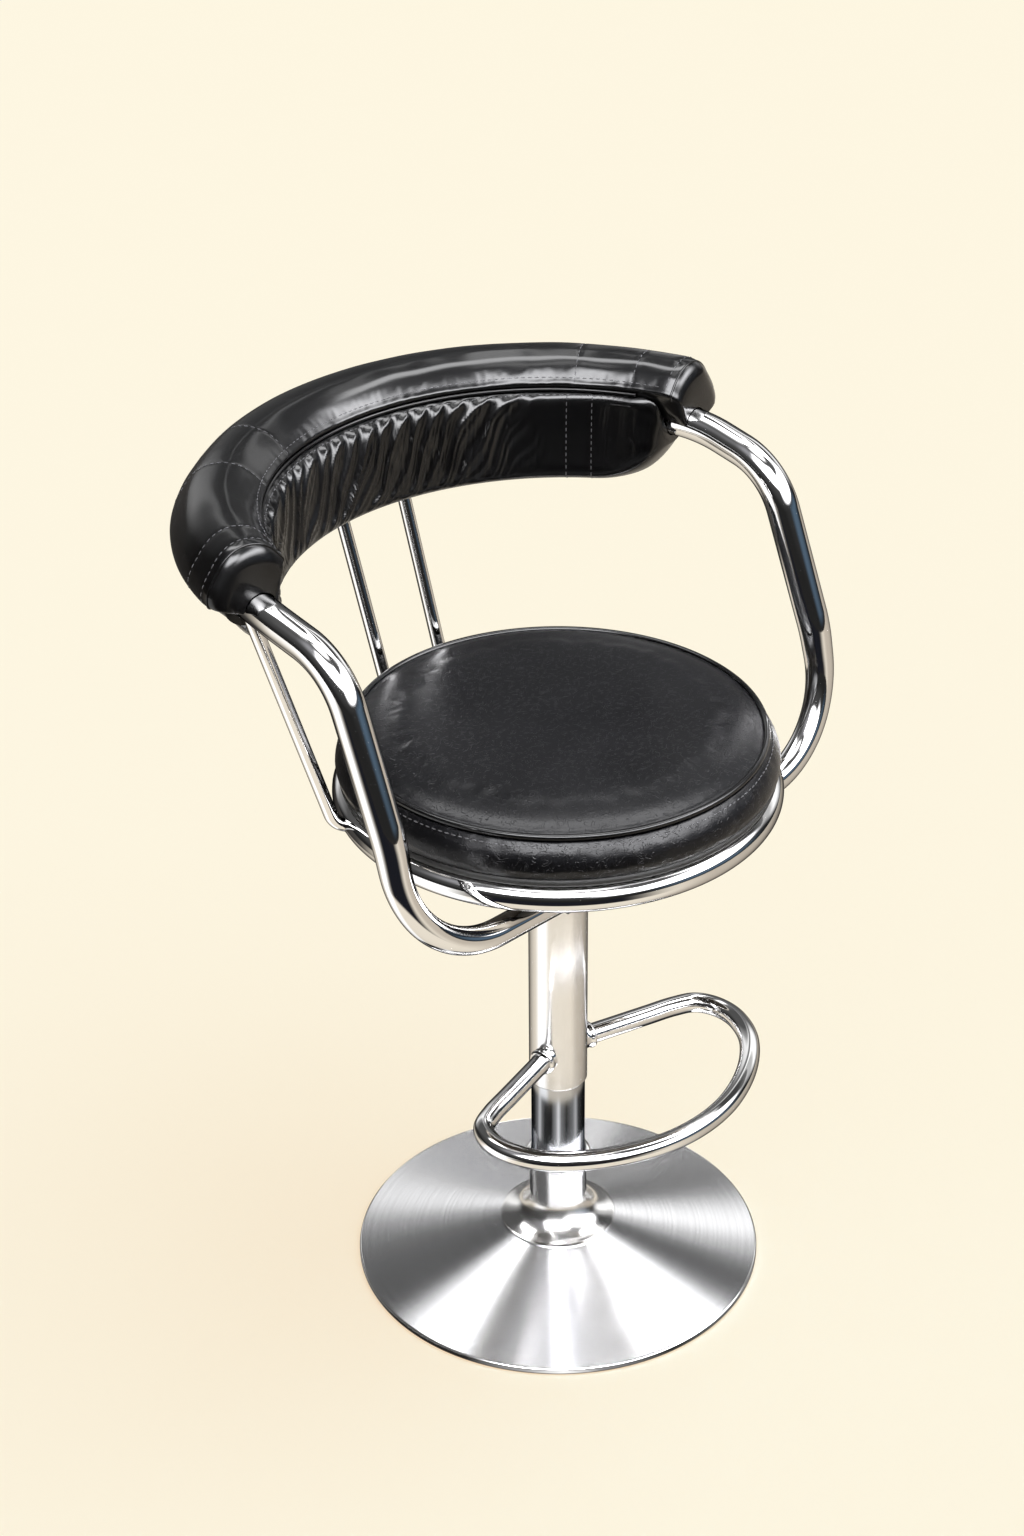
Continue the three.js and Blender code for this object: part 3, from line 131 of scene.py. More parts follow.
# Pebbles, pores and short wandering creases of a coated hide
def hideGroup():
    tree, given, result = newGroup(
        "hideGrain",
        [("Vector", "Vector", None), ("Creases", "Float", 1.0), ("Pebbles", "Float", 1.0),
         ("Crease Spacing", "Float", 1.0)],
        [("Height", "Float"), ("Rub", "Float")])
    vector = given.outputs["Vector"]
    bend = noiseOf(tree, vector, hideScales["bend"], 2.0, 0.55)
    bands = times(tree, bend, given.outputs["Crease Spacing"])
    saw = math2(tree, "FRACT", times(tree, bands, hideScales["bands"]))
    ridge = math2(tree, "ABSOLUTE", math2(tree, "SUBTRACT", saw, 0.5))
    line = ramp(tree, ridge, hideHeights["crease"], 0.0)
    breaks = ramp(tree, noiseOf(tree, vector, hideScales["breaks"], 1.0), 0.44, 0.6)
    line = times(tree, times(tree, line, breaks), given.outputs["Creases"])
    cells = addNode(tree, "TexVoronoi", {
        "Vector": vector, "Scale": hideScales["pebbles"]}, feature="F1")
    pebble = times(tree, cells.outputs["Distance"], given.outputs["Pebbles"])
    pores = noiseOf(tree, vector, hideScales["pores"], 1.0)
    height = math2(tree, "ADD", line, times(tree, pebble, hideHeights["pebble"]))
    height = math2(tree, "MULTIPLY_ADD", pores, hideHeights["pore"], height)
    tree.links.new(height, result.inputs["Height"])
    rub = noiseOf(tree, vector, hideScales["rub"], 4.0)
    tree.links.new(ramp(tree, rub, 0.3, 0.75), result.inputs["Rub"])
    return tree


metalScales = {"smudge": 14.0, "hair": (900.0, 900.0, 35.0), "dust": 55.0}


# Smudges and hairlines that a wiped metal surface carries
def handledGroup():
    tree, given, result = newGroup(
        "handledMetal",
        [("Vector", "Vector", None), ("Base", "Float", 0.05), ("Smudge", "Float", 0.04)],
        [("Roughness", "Float"), ("Height", "Float"), ("Dust", "Float")])
    vector = given.outputs["Vector"]
    smudge = ramp(tree, noiseOf(tree, vector, metalScales["smudge"], 4.0, 0.6), 0.42, 0.78)
    rough = math2(tree, "MULTIPLY_ADD", smudge, given.outputs["Smudge"], given.outputs["Base"])
    hairs = noiseOf(tree, stretchedBy(tree, vector, metalScales["hair"]), 1.0, 1.0)
    dust = noiseOf(tree, vector, metalScales["dust"], 3.0)
    tree.links.new(rough, result.inputs["Roughness"])
    tree.links.new(hairs, result.inputs["Height"])
    tree.links.new(ramp(tree, dust, 0.5, 0.9), result.inputs["Dust"])
    return tree


hideGrain = hideGroup()
handledMetal = handledGroup()


def newMaterial(name, fixed):
    material = bpy.data.materials.new(name)
    material.use_nodes = True
    tree = material.node_tree
    shader = tree.nodes["Principled BSDF"]
    for socket, value in fixed.items():
        shader.inputs[socket].default_value = value
    place = addNode(tree, "TexCoord").outputs["Object"]
    return material, tree, shader, place


# Links the colour and roughness of a finish, and its bump where it has one
def dress(tree, shader, color, roughness, height=None, depth=0.0):
    tree.links.new(color, shader.inputs["Base Color"])
    tree.links.new(roughness, shader.inputs["Roughness"])
    if depth:
        bump = addNode(tree, "Bump", {"Height": height, "Distance": depth})
        tree.links.new(bump.outputs["Normal"], shader.inputs["Normal"])


def wornMetal(tree, place, look):
    return addNode(tree, "Group", {
        "Vector": place, "Base": look["roughness"], "Smudge": look["smudge"],
    }, node_tree=handledMetal)


def metalFinish(name, look):
    material, tree, shader, place = newMaterial(name, {
        "Metallic": 1.0, "Specular Tint": (*look["edge"], 1)})
    worn = wornMetal(tree, place, look)
    tint = mixColor(tree, worn.outputs["Dust"], look["color"], look["dusty"])
    dress(tree, shader, tint, worn.outputs["Roughness"], worn.outputs["Height"], look["hairline"])
    return material


# Turned on a lathe: fine rings round the axis, and a highlight that fans out
def spunFinish(name, look):
    material, tree, shader, place = newMaterial(name, {
        "Metallic": 1.0, "Anisotropic": look["stretch"], "Anisotropic Rotation": 0.25})
    split = addNode(tree, "SeparateXYZ", {"Vector": place})
    flat = addNode(tree, "CombineXYZ", {"X": split.outputs["X"], "Y": split.outputs["Y"]})
    along = addNode(tree, "CombineXYZ", {"X": lengthOf(tree, flat.outputs[0])})
    rings = noiseOf(tree, along.outputs[0], look["ringScale"], 3.0, 0.7)
    tint = mixColor(tree, ramp(tree, rings, 0.3, 0.7), look["color"], look["dusty"])
    dress(tree, shader, tint, wornMetal(tree, place, look).outputs["Roughness"])
    tangent = addNode(tree, "Tangent", direction_type="RADIAL", axis="Z")
    tree.links.new(tangent.outputs[0], shader.inputs["Tangent"])
    return material


def hideFinish(name, look):
    material, tree, shader, place = newMaterial(name, {
        "Coat Weight": look["coat"], "Coat Roughness": look["coatRoughness"],
        "Specular IOR Level": look["specular"]})
    grain = addNode(tree, "Group", {
        "Vector": place, "Creases": look["creases"], "Pebbles": look["pebbles"],
        "Crease Spacing": look["spacing"],
    }, node_tree=hideGrain)
    rub = grain.outputs["Rub"]
    tint = mixColor(tree, rub, look["color"], look["rubbed"])
    rough = ramp(tree, rub, 0.0, 1.0, look["roughness"], look["roughness"] * 1.2)
    dress(tree, shader, tint, rough, grain.outputs["Height"], look["depth"])
    return material


def mottledFinish(name, look, stretch=None):
    material, tree, shader, place = newMaterial(name, {"Metallic": look.get("metallic", 0.0)})
    vector = stretchedBy(tree, place, stretch) if stretch else place
    mottle = noiseOf(tree, vector, look["grainScale"], 4.0, look.get("grainRoughness", 0.6))
    tint = mixColor(tree, ramp(tree, mottle, 0.3, 0.7), look["color"], look["second"])
    low, high = look.get("roughnessRange") or (look["roughness"] * 0.85, look["roughness"] * 1.15)
    dress(tree, shader, tint, ramp(tree, mottle, 0.2, 0.8, low, high), mottle, look["depth"])
    return material


# Layers on the edge and long grain on the face
def woodFinish(name, look):
    return mottledFinish(name, look, (160.0, 9.0, 160.0))


polish = {"color": (0.86, 0.855, 0.85), "dusty": (0.82, 0.81, 0.80), "edge": (0.03, 0.03, 0.035),
          "roughness": 0.045, "smudge": 0.03, "hairline": 0.0}
looks = {
    "chrome": polish,
    "column_chrome": {**polish, "color": (0.55, 0.56, 0.58), "dusty": (0.5, 0.51, 0.53),
                      "edge": (0.02, 0.02, 0.03), "roughness": 0.07, "smudge": 0.04},
    "sleeve_chrome": {**polish, "roughness": 0.2, "smudge": 0.02},
    "plain_steel": {"color": (0.5, 0.5, 0.51), "dusty": (0.4, 0.39, 0.38), "edge": (0.8, 0.8, 0.8),
                    "roughness": 0.32, "smudge": 0.14, "hairline": 0.00002},
    "spun_steel": {"color": (0.90, 0.90, 0.91), "dusty": (0.80, 0.80, 0.81), "roughness": 0.215,
                   "smudge": 0.012, "stretch": 1.0, "ringScale": 260.0},
    "spun_trumpet": {"color": (0.84, 0.83, 0.82), "dusty": (0.8, 0.79, 0.78), "roughness": 0.15,
                     "smudge": 0.01, "stretch": 0.9, "ringScale": 900.0},
    "roll_leather": {"color": (0.0013, 0.0013, 0.0015), "rubbed": (0.0022, 0.0022, 0.0025),
                     "roughness": 0.36, "coat": 0.65, "coatRoughness": 0.1, "specular": 0.1,
                     "creases": 0.35, "pebbles": 0.5, "spacing": 0.6, "depth": 0.00012},
    "seat_leather": {"color": (0.0032, 0.0032, 0.0042), "rubbed": (0.005, 0.005, 0.0062),
                     "roughness": 0.285, "coat": 0.0, "coatRoughness": 0.22, "specular": 0.26,
                     "creases": 0.75, "pebbles": 1.2, "spacing": 0.9, "depth": 0.00022},
    "cast_iron": {"color": (0.05, 0.05, 0.052), "second": (0.085, 0.08, 0.078),
                  "roughness": 0.7, "grainScale": 160.0, "depth": 0.0002, "metallic": 0.6},
    "black_paint": {"color": (0.011, 0.011, 0.012), "second": (0.018, 0.018, 0.019),
                    "roughness": 0.38, "grainScale": 420.0, "depth": 0.00004},
    "rubber": {"color": (0.008, 0.008, 0.008), "second": (0.016, 0.016, 0.015),
               "roughness": 0.62, "grainScale": 300.0, "depth": 0.00006},
    "bush_plastic": {"color": (0.62, 0.6, 0.54), "second": (0.55, 0.53, 0.47),
                     "roughness": 0.5, "grainScale": 200.0, "depth": 0.00003},
    "black_plastic": {"color": (0.012, 0.012, 0.013), "second": (0.02, 0.02, 0.021),
                      "roughness": 0.45, "grainScale": 700.0, "depth": 0.00005},
    "thread": {"color": (0.2, 0.2, 0.215), "second": (0.1, 0.1, 0.11),
               "roughness": 0.55, "grainScale": 2500.0, "depth": 0.00005},
    "board": {"color": (0.035, 0.028, 0.022), "second": (0.02, 0.016, 0.013), "grainScale": 1.0,
              "grainRoughness": 0.65, "roughnessRange": (0.55, 0.75), "depth": 0.0001},
}
makers = {
    metalFinish: ["chrome", "column_chrome", "sleeve_chrome", "plain_steel"],
    spunFinish: ["spun_steel", "spun_trumpet"],
    hideFinish: ["roll_leather", "seat_leather"],
    mottledFinish: [
        "cast_iron", "black_paint", "rubber", "bush_plastic", "black_plastic", "thread"],
    woodFinish: ["board"],
}
finishes = {name: make(name, looks[name]) for make, names in makers.items() for name in names}
finishes["leather"] = finishes["roll_leather"]     # under its slot's name too

for nodeName, cadNode in frame["nodes"].items():
    cadNode.data.materials.clear()
    cadNode.data.materials.append(finishes[slotOf[nodeName]])
print("materials: done")


def linked(name, data):
    made = bpy.data.objects.new(name, data)
    bpy.context.scene.collection.objects.link(made)
    return made


# Turns a drawing into a piece: faces outward, and smooth but for its sharp edges
def finishMesh(bm, name, used, sharpDegrees=34):
    bmesh.ops.recalc_face_normals(bm, faces=bm.faces[:])
    limit = math.radians(sharpDegrees)
    for face in bm.faces:
        face.smooth = True
    for edge in bm.edges:
        edge.smooth = len(edge.link_faces) != 2 or edge.calc_face_angle(0) < limit
    mesh = bpy.data.meshes.new(name)
    bm.to_mesh(mesh)
    bm.free()
    for finish in used:
        mesh.materials.append(finishes[finish])
    return linked(name, mesh)


def settle(piece, body, nodes=()):
    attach(piece, body)
    if nodes:
        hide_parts(*nodes)
    return piece


def reachOf(place):
    return math.hypot(place.x, place.y)


def widen(vertex, factor):
    vertex.co.x *= factor
    vertex.co.y *= factor


# Spins all that is drawn about the column's axis, with its seam and poles closed.
def spin(bm, steps):
    bmesh.ops.spin(bm, geom=bm.verts[:] + bm.edges[:], cent=(0, 0, 0), axis=(0, 0, 1),
                   angle=fullTurn, steps=steps, use_merge=True)
    bmesh.ops.remove_doubles(bm, verts=bm.verts[:], dist=weldDistance)


# Rounds the corners of a broken line. Each corner is (place, radius).
def filleted(corners, arcStep=0.09):
    line = [Vector(corners[0][0])]
    for (before, _), (at, radius), (after, _) in zip(corners, corners[1:], corners[2:]):
        before, at, after = Vector(before), Vector(at), Vector(after)
        arriving, leaving = (at - before).normalized(), (after - at).normalized()
        bend = arriving.angle(leaving)
        if radius <= 0 or bend < 1e-4:
            line.append(at)
            continue
        inward = (leaving - arriving * leaving.dot(arriving)).normalized()
        start = at - arriving * radius * math.tan(bend / 2)
        middle = start + inward * radius
        steps = max(3, math.ceil(bend / arcStep))
        for k in range(steps + 1):
            angle = bend * k / steps
            line.append(middle - inward * radius * math.cos(angle)
                        + arriving * radius * math.sin(angle))
    line.append(Vector(corners[-1][0]))
    return line


# A smooth line through points, open or looped
def throughPoints(points, steps, looped):
    count = len(points)
    line = []
    for i in range(count if looped else count - 1):
        b, c = points[i], points[(i + 1) % count]
        a = points[i - 1] if looped or i > 0 else b * 2 - c
        d = points[(i + 2) % count] if looped or i < count - 2 else c * 2 - b
        knots = [0.0]
        for p, q in ((a, b), (b, c), (c, d)):
            knots.append(knots[-1] + max((q - p).length, 1e-7) ** 0.5)
        for step in range(steps):
            t = lerp(knots[1], knots[2], step / steps)

            def between(p, q, first, last):
                return p.lerp(q, (t - knots[first]) / (knots[last] - knots[first]))
            ab, bc, cd = between(a, b, 0, 1), between(b, c, 1, 2), between(c, d, 2, 3)
            line.append(between(between(ab, bc, 0, 2), between(bc, cd, 1, 3), 1, 2))
    if not looped:
        line.append(points[-1].copy())
    return line


# Long straight runs get a point near each end, so that their shading stays straight.
def supported(ring, looped, near=0.0004):
    line = []
    for start, end in zip(ring, [*ring[1:], ring[0]] if looped else ring[1:]):
        line.append(start)
        reach = (end - start).length
        if reach > near * 8:
            line += [start.lerp(end, near / reach), start.lerp(end, 1 - near / reach)]
    return line if looped else [*line, ring[-1]]


# Spins an outline of (radius, height) points about the column's axis.
def turned(name, outline, used, steps=128, looped=True, cornerRadius=0.0004):
    if looped and cornerRadius:
        corners = [(Vector((r, 0, z)), cornerRadius) for r, z in outline]
        ring = filleted([corners[-1], *corners, corners[0]], 0.5)[1:-1]
    else:
        ring = [Vector((r, 0, z)) for r, z in outline]
    ring = supported(ring, looped)
    bm = bmesh.new()
    verts = [bm.verts.new(place) for place in ring]
    for pair in [*zip(verts, verts[1:]), *([(verts[-1], verts[0])] if looped else [])]:
        bm.edges.new(pair)
    spin(bm, steps)
    return finishMesh(bm, name, used)


# A ring of round tube about the column's axis
def hoop(name, size, height, finish):
    bm = bmesh.new()
    verts = bmesh.ops.create_circle(bm, segments=size["sides"], radius=size["tube"])["verts"]
    bmesh.ops.rotate(bm, verts=verts, matrix=Matrix.Rotation(math.pi / 2, 3, "X"))
    bmesh.ops.translate(bm, verts=verts, vec=(size["radius"], 0, height))
    spin(bm, size["steps"])
    return finishMesh(bm, name, [finish])


# A round tube along a line, with a radius for each point
def tube(name, line, radii, finish, looped=False, sides=9):
    curve = bpy.data.curves.new(name, "CURVE")
    curve.dimensions = "3D"
    curve.bevel_depth = 1.0
    curve.bevel_resolution = sides
    curve.use_fill_caps = True
    spline = curve.splines.new("POLY")
    spline.points.add(len(line) - 1)
    for point, place, radius in zip(spline.points, line, radii):
        point.co = (*place, 1.0)
        point.radius = radius
    spline.use_cyclic_u = looped
    holder = linked(name, curve)
    bpy.context.view_layer.update()
    drawn = holder.evaluated_get(bpy.context.evaluated_depsgraph_get())
    mesh = bpy.data.meshes.new_from_object(drawn)
    bm = bmesh.new()
    bm.from_mesh(mesh)
    bpy.data.objects.remove(holder)
    bpy.data.curves.remove(curve)
    bpy.data.meshes.remove(mesh)
    bmesh.ops.remove_doubles(bm, verts=bm.verts[:], dist=weldDistance)
    return finishMesh(bm, name, [finish], 50)


# The lip is given from the edge and the rim's top, the gasket as (radius, height).
base = {
    "radius": 0.1925, "rimTop": 0.0064, "crownHeight": 0.0384, "crownRadius": 0.045, "fall": 1.04,
    "wall": 0.0024, "bottom": 0.0019, "polishedEdge": 0.0021, "bore": 0.0258, "shoulder": 0.0016,
    "slopeStart": 0.0017, "slopeSteps": 24, "lipBottom": 0.0019, "steps": 224,
    "lip": [(0.0, -0.0019), (-0.0002, -0.001), (-0.0007, -0.0003), (-0.0014, 0.0001)],
}
gasket = [(0.0, 0.0), (0.1905, 0.0), (0.1917, 0.0005), (0.1917, 0.0013), (0.1912, 0.0016),
          (0.0, 0.0016)]


def coverHeight(radius):
    shoulder = base["radius"] - base["shoulder"]
    share = (shoulder - radius) / (shoulder - base["crownRadius"])
    return lerp(base["rimTop"], base["crownHeight"], share ** base["fall"])


def makeBase():
    edge, top, crown = base["radius"], base["rimTop"], base["crownHeight"]
    slope = []
    for k in range(base["slopeSteps"] + 1):
        radius = lerp(edge - base["slopeStart"], base["crownRadius"], k / base["slopeSteps"])
        slope.append((radius, coverHeight(radius)))
    outline = [
        (edge, base["bottom"]), *((edge + out, top + up) for out, up in base["lip"]), *slope,
        (base["bore"], crown), (base["bore"], crown - base["wall"]),
        (base["crownRadius"], crown - base["wall"]),
        (edge - base["wall"], top - base["lipBottom"]), (edge - base["wall"], base["bottom"])]
    cover = turned("base_cover_spun", outline, ["spun_steel", "chrome"],
                   steps=base["steps"], cornerRadius=0)
    for face in cover.data.polygons:
        if reachOf(face.center) > edge - base["polishedEdge"]:
            face.material_index = 1
    settle(cover, "base", ["base_cover"])
    pad = turned("floor_gasket", gasket, ["rubber"], steps=160, looped=False)
    settle(pad, "base", ["floor_pad"])


# Outlines are (radius, height).
neck = {
    "bore": 0.02565, "liningTop": 0.064, "top": 0.092, "spunReach": 0.0528, "spunTop": 0.067,
    "flare": [(0.027, 0.092), (0.027, 0.08), (0.0271, 0.07), (0.0276, 0.0622), (0.03, 0.056),
              (0.0346, 0.049), (0.0405, 0.044), (0.0465, 0.041), (0.0512, 0.0396)],
    "lip": [(0.0538, 0.0394), (0.0546, 0.0389), (0.0549, 0.0381), (0.0546, 0.0374),
            (0.0538, 0.0371)],
    "lining": [(0.0505, 0.0380), (0.0400, 0.0425), (0.0330, 0.0490), (0.0262, 0.0600)],
}
collar = {
    "knurls": 90, "knurlDepth": 0.00022, "band": (0.0925, 0.1032), "bandReach": 0.0278,
    "outline": [
        (0.02565, 0.0923), (0.0279, 0.0923), (0.0281, 0.0929), (0.0281, 0.1030), (0.0275, 0.1034),
        (0.0274, 0.1052), (0.0287, 0.1060), (0.0300, 0.1072), (0.03075, 0.1088), (0.0309, 0.1103),
        (0.0305, 0.1119), (0.0294, 0.1132), (0.0279, 0.1137), (0.0265, 0.1139), (0.02565, 0.1135)],
}
columnTube = [(0.02285, 0.0185), (0.02535, 0.0185), (0.02535, 0.3500), (0.02285, 0.3500)]
sleeveTube = [(0.0258, 0.2008), (0.0273, 0.2008), (0.0273, 0.4840), (0.0258, 0.4840)]


def makeNeck():
    flare = [Vector((r, 0, z)) for r, z in neck["flare"]]
    skirt = [(p.x, p.z) for p in throughPoints(flare, 5, False)]
    lining = [*neck["lining"], (neck["bore"], neck["liningTop"]), (neck["bore"], neck["top"])]
    trumpet = turned("trumpet_skirt", [*skirt, *neck["lip"], *lining],
                     ["chrome", "spun_trumpet"], cornerRadius=0)
    for face in trumpet.data.polygons:   # spun above, polished along the lip
        if reachOf(face.center) < neck["spunReach"] and face.center.z < neck["spunTop"]:
            face.material_index = 1
    settle(trumpet, "base", ["trumpet_flange"])
    steps = collar["knurls"] * 2
    low, high = collar["band"]
    ring = turned("collar_ring_knurled", collar["outline"], ["chrome"], steps, cornerRadius=0)
    for vertex in ring.data.vertices:    # the grip band under the lip
        reach = reachOf(vertex.co)
        step = round(math.atan2(vertex.co.y, vertex.co.x) / fullTurn * steps)
        if low < vertex.co.z < high and reach > collar["bandReach"] and step % 2:
            widen(vertex, 1 - collar["knurlDepth"] / reach)
    settle(ring, "base", ["collar_ring"])


def makeColumn():
    column = turned("inner_column_tube", columnTube, ["column_chrome"])
    settle(column, "base", ["inner_column"])
    sleeve = turned("outer_sleeve_tube", sleeveTube, ["sleeve_chrome"], cornerRadius=0.0005)
    settle(sleeve, "seat", ["outer_sleeve"])


# The loop beyond the legs is (share of the half width, share of the depth).
footrest = {
    "height": 0.236, "radius": 0.0095, "halfWidth": 0.150, "depth": 0.180, "legStart": 0.036,
    "legStraight": 0.096, "lean": math.radians(15.5), "setback": 0.0016, "sleeveWall": 0.0265,
    "legInset": 0.006, "socketReach": 0.0278,
    "loopShares": [(0.8, 0.195), (0.93, 0.25), (0.99, 0.35), (0.99, 0.48), (0.9, 0.645),
                   (0.74, 0.78), (0.52, 0.895), (0.26, 0.975)],
    "socket": [
        (0.0096, -0.0065), (0.0112, -0.0065), (0.0116, 0.0012), (0.0124, 0.0026), (0.0128, 0.0042),
        (0.0124, 0.0058), (0.0115, 0.0067), (0.0102, 0.0072), (0.0096, 0.007)],
}


def footrestLeg(reach):
    lean = footrest["lean"]
    return Vector((reach * math.cos(lean), -footrest["setback"] - reach * math.sin(lean),
                   footrest["height"]))


def mirrorX(points):
    return [Vector((-p.x, p.y, p.z)) for p in reversed(points)]


def makeFootrest():
    start = footrest["legStart"] - footrest["legInset"]
    legs = [footrestLeg(lerp(start, footrest["legStraight"], share))
            for share in (0, 0.33, 0.67, 1)]
    loop = [Vector((footrest["halfWidth"] * across, -footrest["depth"] * ahead, footrest["height"]))
            for across, ahead in footrest["loopShares"]]
    middle = Vector((0, -footrest["depth"], footrest["height"]))
    line = throughPoints([*legs, *loop, middle, *mirrorX(legs + loop)], 10, False)
    bar = tube("footrest_bar", line, [footrest["radius"]] * len(line), "chrome", sides=11)
    settle(bar, "seat", ["footrest_loop"])
    wall = footrest["sleeveWall"]
    for name, side in (("left", 1), ("right", -1)):
        ring = turned(f"footrest_socket_{name}", footrest["socket"], ["chrome"],
                      steps=64, cornerRadius=0)
        outward = (footrestLeg(0.1) - footrestLeg(0.0)).normalized()
        at = footrestLeg(footrest["socketReach"])
        outward.x, at.x = outward.x * side, at.x * side
        turn = outward.to_track_quat("Z", "Y").to_matrix().to_4x4()
        ring.data.transform(Matrix.Translation(at) @ turn)
        for vertex in ring.data.vertices:    # none inside the sleeve, where the bush passes
            if reachOf(vertex.co) < wall:
                widen(vertex, wall / reachOf(vertex.co))
        settle(ring, "seat", [f"footrest_ferrule_{name}"])


# Elbow, knee and cross are (reach to the front, height, bend radius). The tube grows from thin to
# thick between the heights of the taper.
arm = {
    "halfWidth": 0.262, "thick": 0.0152, "thin": 0.0125, "elbow": (0.0114, 0.743, 0.070),
    "knee": (0.069, 0.603, 0.160), "cross": (0.096, 0.485, 0.095), "taper": (0.530, 0.630),
    "backHeight": 0.7585, "backDrop": 0.0045, "blend": 0.050, "backStart": 0.050,
    "backDepth": 0.240, "backSteps": 120,
}


def backPoint(angle):
    along = abs(math.pi / 2 - abs(angle)) * arm["backDepth"]
    near = clamp(1 - along / arm["blend"])
    return Vector((arm["halfWidth"] * math.sin(angle),
                   arm["backStart"] + arm["backDepth"] * math.cos(angle),
                   arm["backHeight"] - arm["backDrop"] * near * near))


def makeFrame():
    wide, steps = arm["halfWidth"], arm["backSteps"]
    corners = [((wide, -reach, height), radius)
               for reach, height, radius in (arm["cross"], arm["knee"], arm["elbow"])]
    side = filleted([
        ((0, -arm["cross"][0], arm["cross"][1]), 0), *corners,
        ((wide, arm["backStart"], arm["backHeight"] - arm["backDrop"]), 0)], 0.05)
    rear = [backPoint(math.pi / 2 - math.pi * i / steps) for i in range(1, steps)]
    line = [*side, *rear, *mirrorX(side)[:-1]]
    low, high = arm["taper"]
    radii = [lerp(arm["thin"], arm["thick"], smooth(low, high, p.z)) for p in line]
    settle(tube("arm_frame", line, radii, "chrome", looped=True, sides=13),
           "seat", ["frame_tube"])


ringTube = {"radius": 0.188, "tube": 0.0125, "height": 0.520, "sides": 32, "steps": 160}


def makeRing():
    ring = hoop("seat_ring_tube", ringTube, ringTube["height"], "chrome")
    settle(ring, "seat", ["seat_ring"])


rods = {
    "radius": 0.00625, "upper": (0.262, 0.700), "lower": (0.213, 0.540),
    "kneeHeight": 0.514, "bend": 0.020, "topInset": 0.012,
    "bearings": {"right": (-66.5, -68.2), "middle": (-3.1, -3.7), "left": (14.6, 12.0)},
}


def makeRods():
    def at(bearing, reach, height):
        angle = math.radians(bearing)
        return Vector((reach * math.sin(angle), reach * math.cos(angle), height))
    for name, (lowBearing, highBearing) in rods["bearings"].items():
        low, high = at(lowBearing, *rods["lower"]), at(highBearing, *rods["upper"])
        slope = (high - low) / (high.z - low.z)
        top = high + slope * (arm["backHeight"] - rods["topInset"] - high.z)
        knee = low + slope * (rods["kneeHeight"] - low.z)
        foot = at(lowBearing, ringTube["radius"], ringTube["height"])
        line = filleted([(foot, 0), (knee, rods["bend"]), (top, 0)])
        rod = tube(f"back_rod_{name}_bar", line, [rods["radius"]] * len(line), "chrome")
        settle(rod, "seat", [f"back_rod_{name}", f"back_rod_{name}_foot"])


makeBase()
makeNeck()
makeColumn()
makeFootrest()
makeFrame()
makeRing()
makeRods()
print("metalwork: done")


clothLook = {
    "quality": 6, "mass": 0.25, "tension_stiffness": 18, "compression_stiffness": 18,
    "bending_stiffness": 0.6, "use_pressure": True, "vertex_group_mass": "held",
}


# Lets a pad swell under its cover. Points in "held" stay, and none moves more than the cap.
def puff(piece, held, pressure, cap, shrink=0.0, frames=14):
    group = piece.vertex_groups.new(name="held")
    for index, weight in held.items():
        group.add([index], weight, "REPLACE")
    start = [v.co.copy() for v in piece.data.vertices]
    cloth = piece.modifiers.new("swell", "CLOTH")
    for key, value in clothLook.items():
        setattr(cloth.settings, key, value)
    cloth.settings.uniform_pressure_force = pressure
    cloth.settings.shrink_min = shrink
    cloth.settings.effector_weights.gravity = 0.0
    cloth.collision_settings.use_collision = False
    scene = bpy.context.scene
    for number in range(1, frames + 1):
        scene.frame_set(number)
    swollen = piece.evaluated_get(bpy.context.evaluated_depsgraph_get()).to_mesh()
    ends = [v.co.copy() for v in swollen.vertices]
    for vertex, before, after in zip(piece.data.vertices, start, ends):
        moved = after - before
        if moved.length > cap:
            moved = moved.normalized() * cap
        vertex.co = before + moved
    piece.modifiers.remove(cloth)
    piece.vertex_groups.clear()
    scene.frame_set(1)
    piece.data.update()


def noiseAt(*place):
    return noise.noise(Vector(place))


# A closed skin over rows of points: a grid whose points are moved to their places
def skin(name, rows, finish):
    across, along = len(rows[0]), len(rows)
    bm = bmesh.new()
    bm.loops.layers.uv.new("skin")
    bmesh.ops.create_grid(bm, x_segments=along - 1, y_segments=across, size=0.5, calc_uvs=True)
    for vertex in bm.verts:
        i = round((vertex.co.x + 0.5) * (along - 1))
        j = round((vertex.co.y + 0.5) * across)
        vertex.co = rows[i][j % across]
    bmesh.ops.remove_doubles(bm, verts=bm.verts[:], dist=1e-7)
    bmesh.ops.holes_fill(bm, edges=[e for e in bm.edges if e.is_boundary], sides=0)
    return finishMesh(bm, name, [finish], 60)


# Seam, inner and outer are circles, (middle's Y, radius), round the back seen from above.
back = {
    "centreY": 0.040, "rollEnd": 80.8, "panelEnd": 76.0, "noseAngle": 5.6, "liftAngle": 15.0,
    "seam": (0.012, 0.241), "inner": (-0.011, 0.249), "outer": (0.025, 0.311),
    "seamHeight": 0.794, "rollTop": 0.817, "panelBottom": 0.701, "panelThickness": 0.018,
    "wrapDrop": 0.022, "cuff": 0.023, "clearance": 0.0009, "bluntness": 3.2,
    "endStitch": 77.0, "endPiping": 78.6, "meanReach": 0.28, "seamShare": 0.03, "noseRows": 10,
}
seamUp = back["seamHeight"] - arm["backHeight"]


def toCircle(angle, circle):
    offset = circle[0] - back["centreY"]
    across = offset * math.sin(angle)
    return offset * math.cos(angle) + math.sqrt(circle[1] ** 2 - across * across)


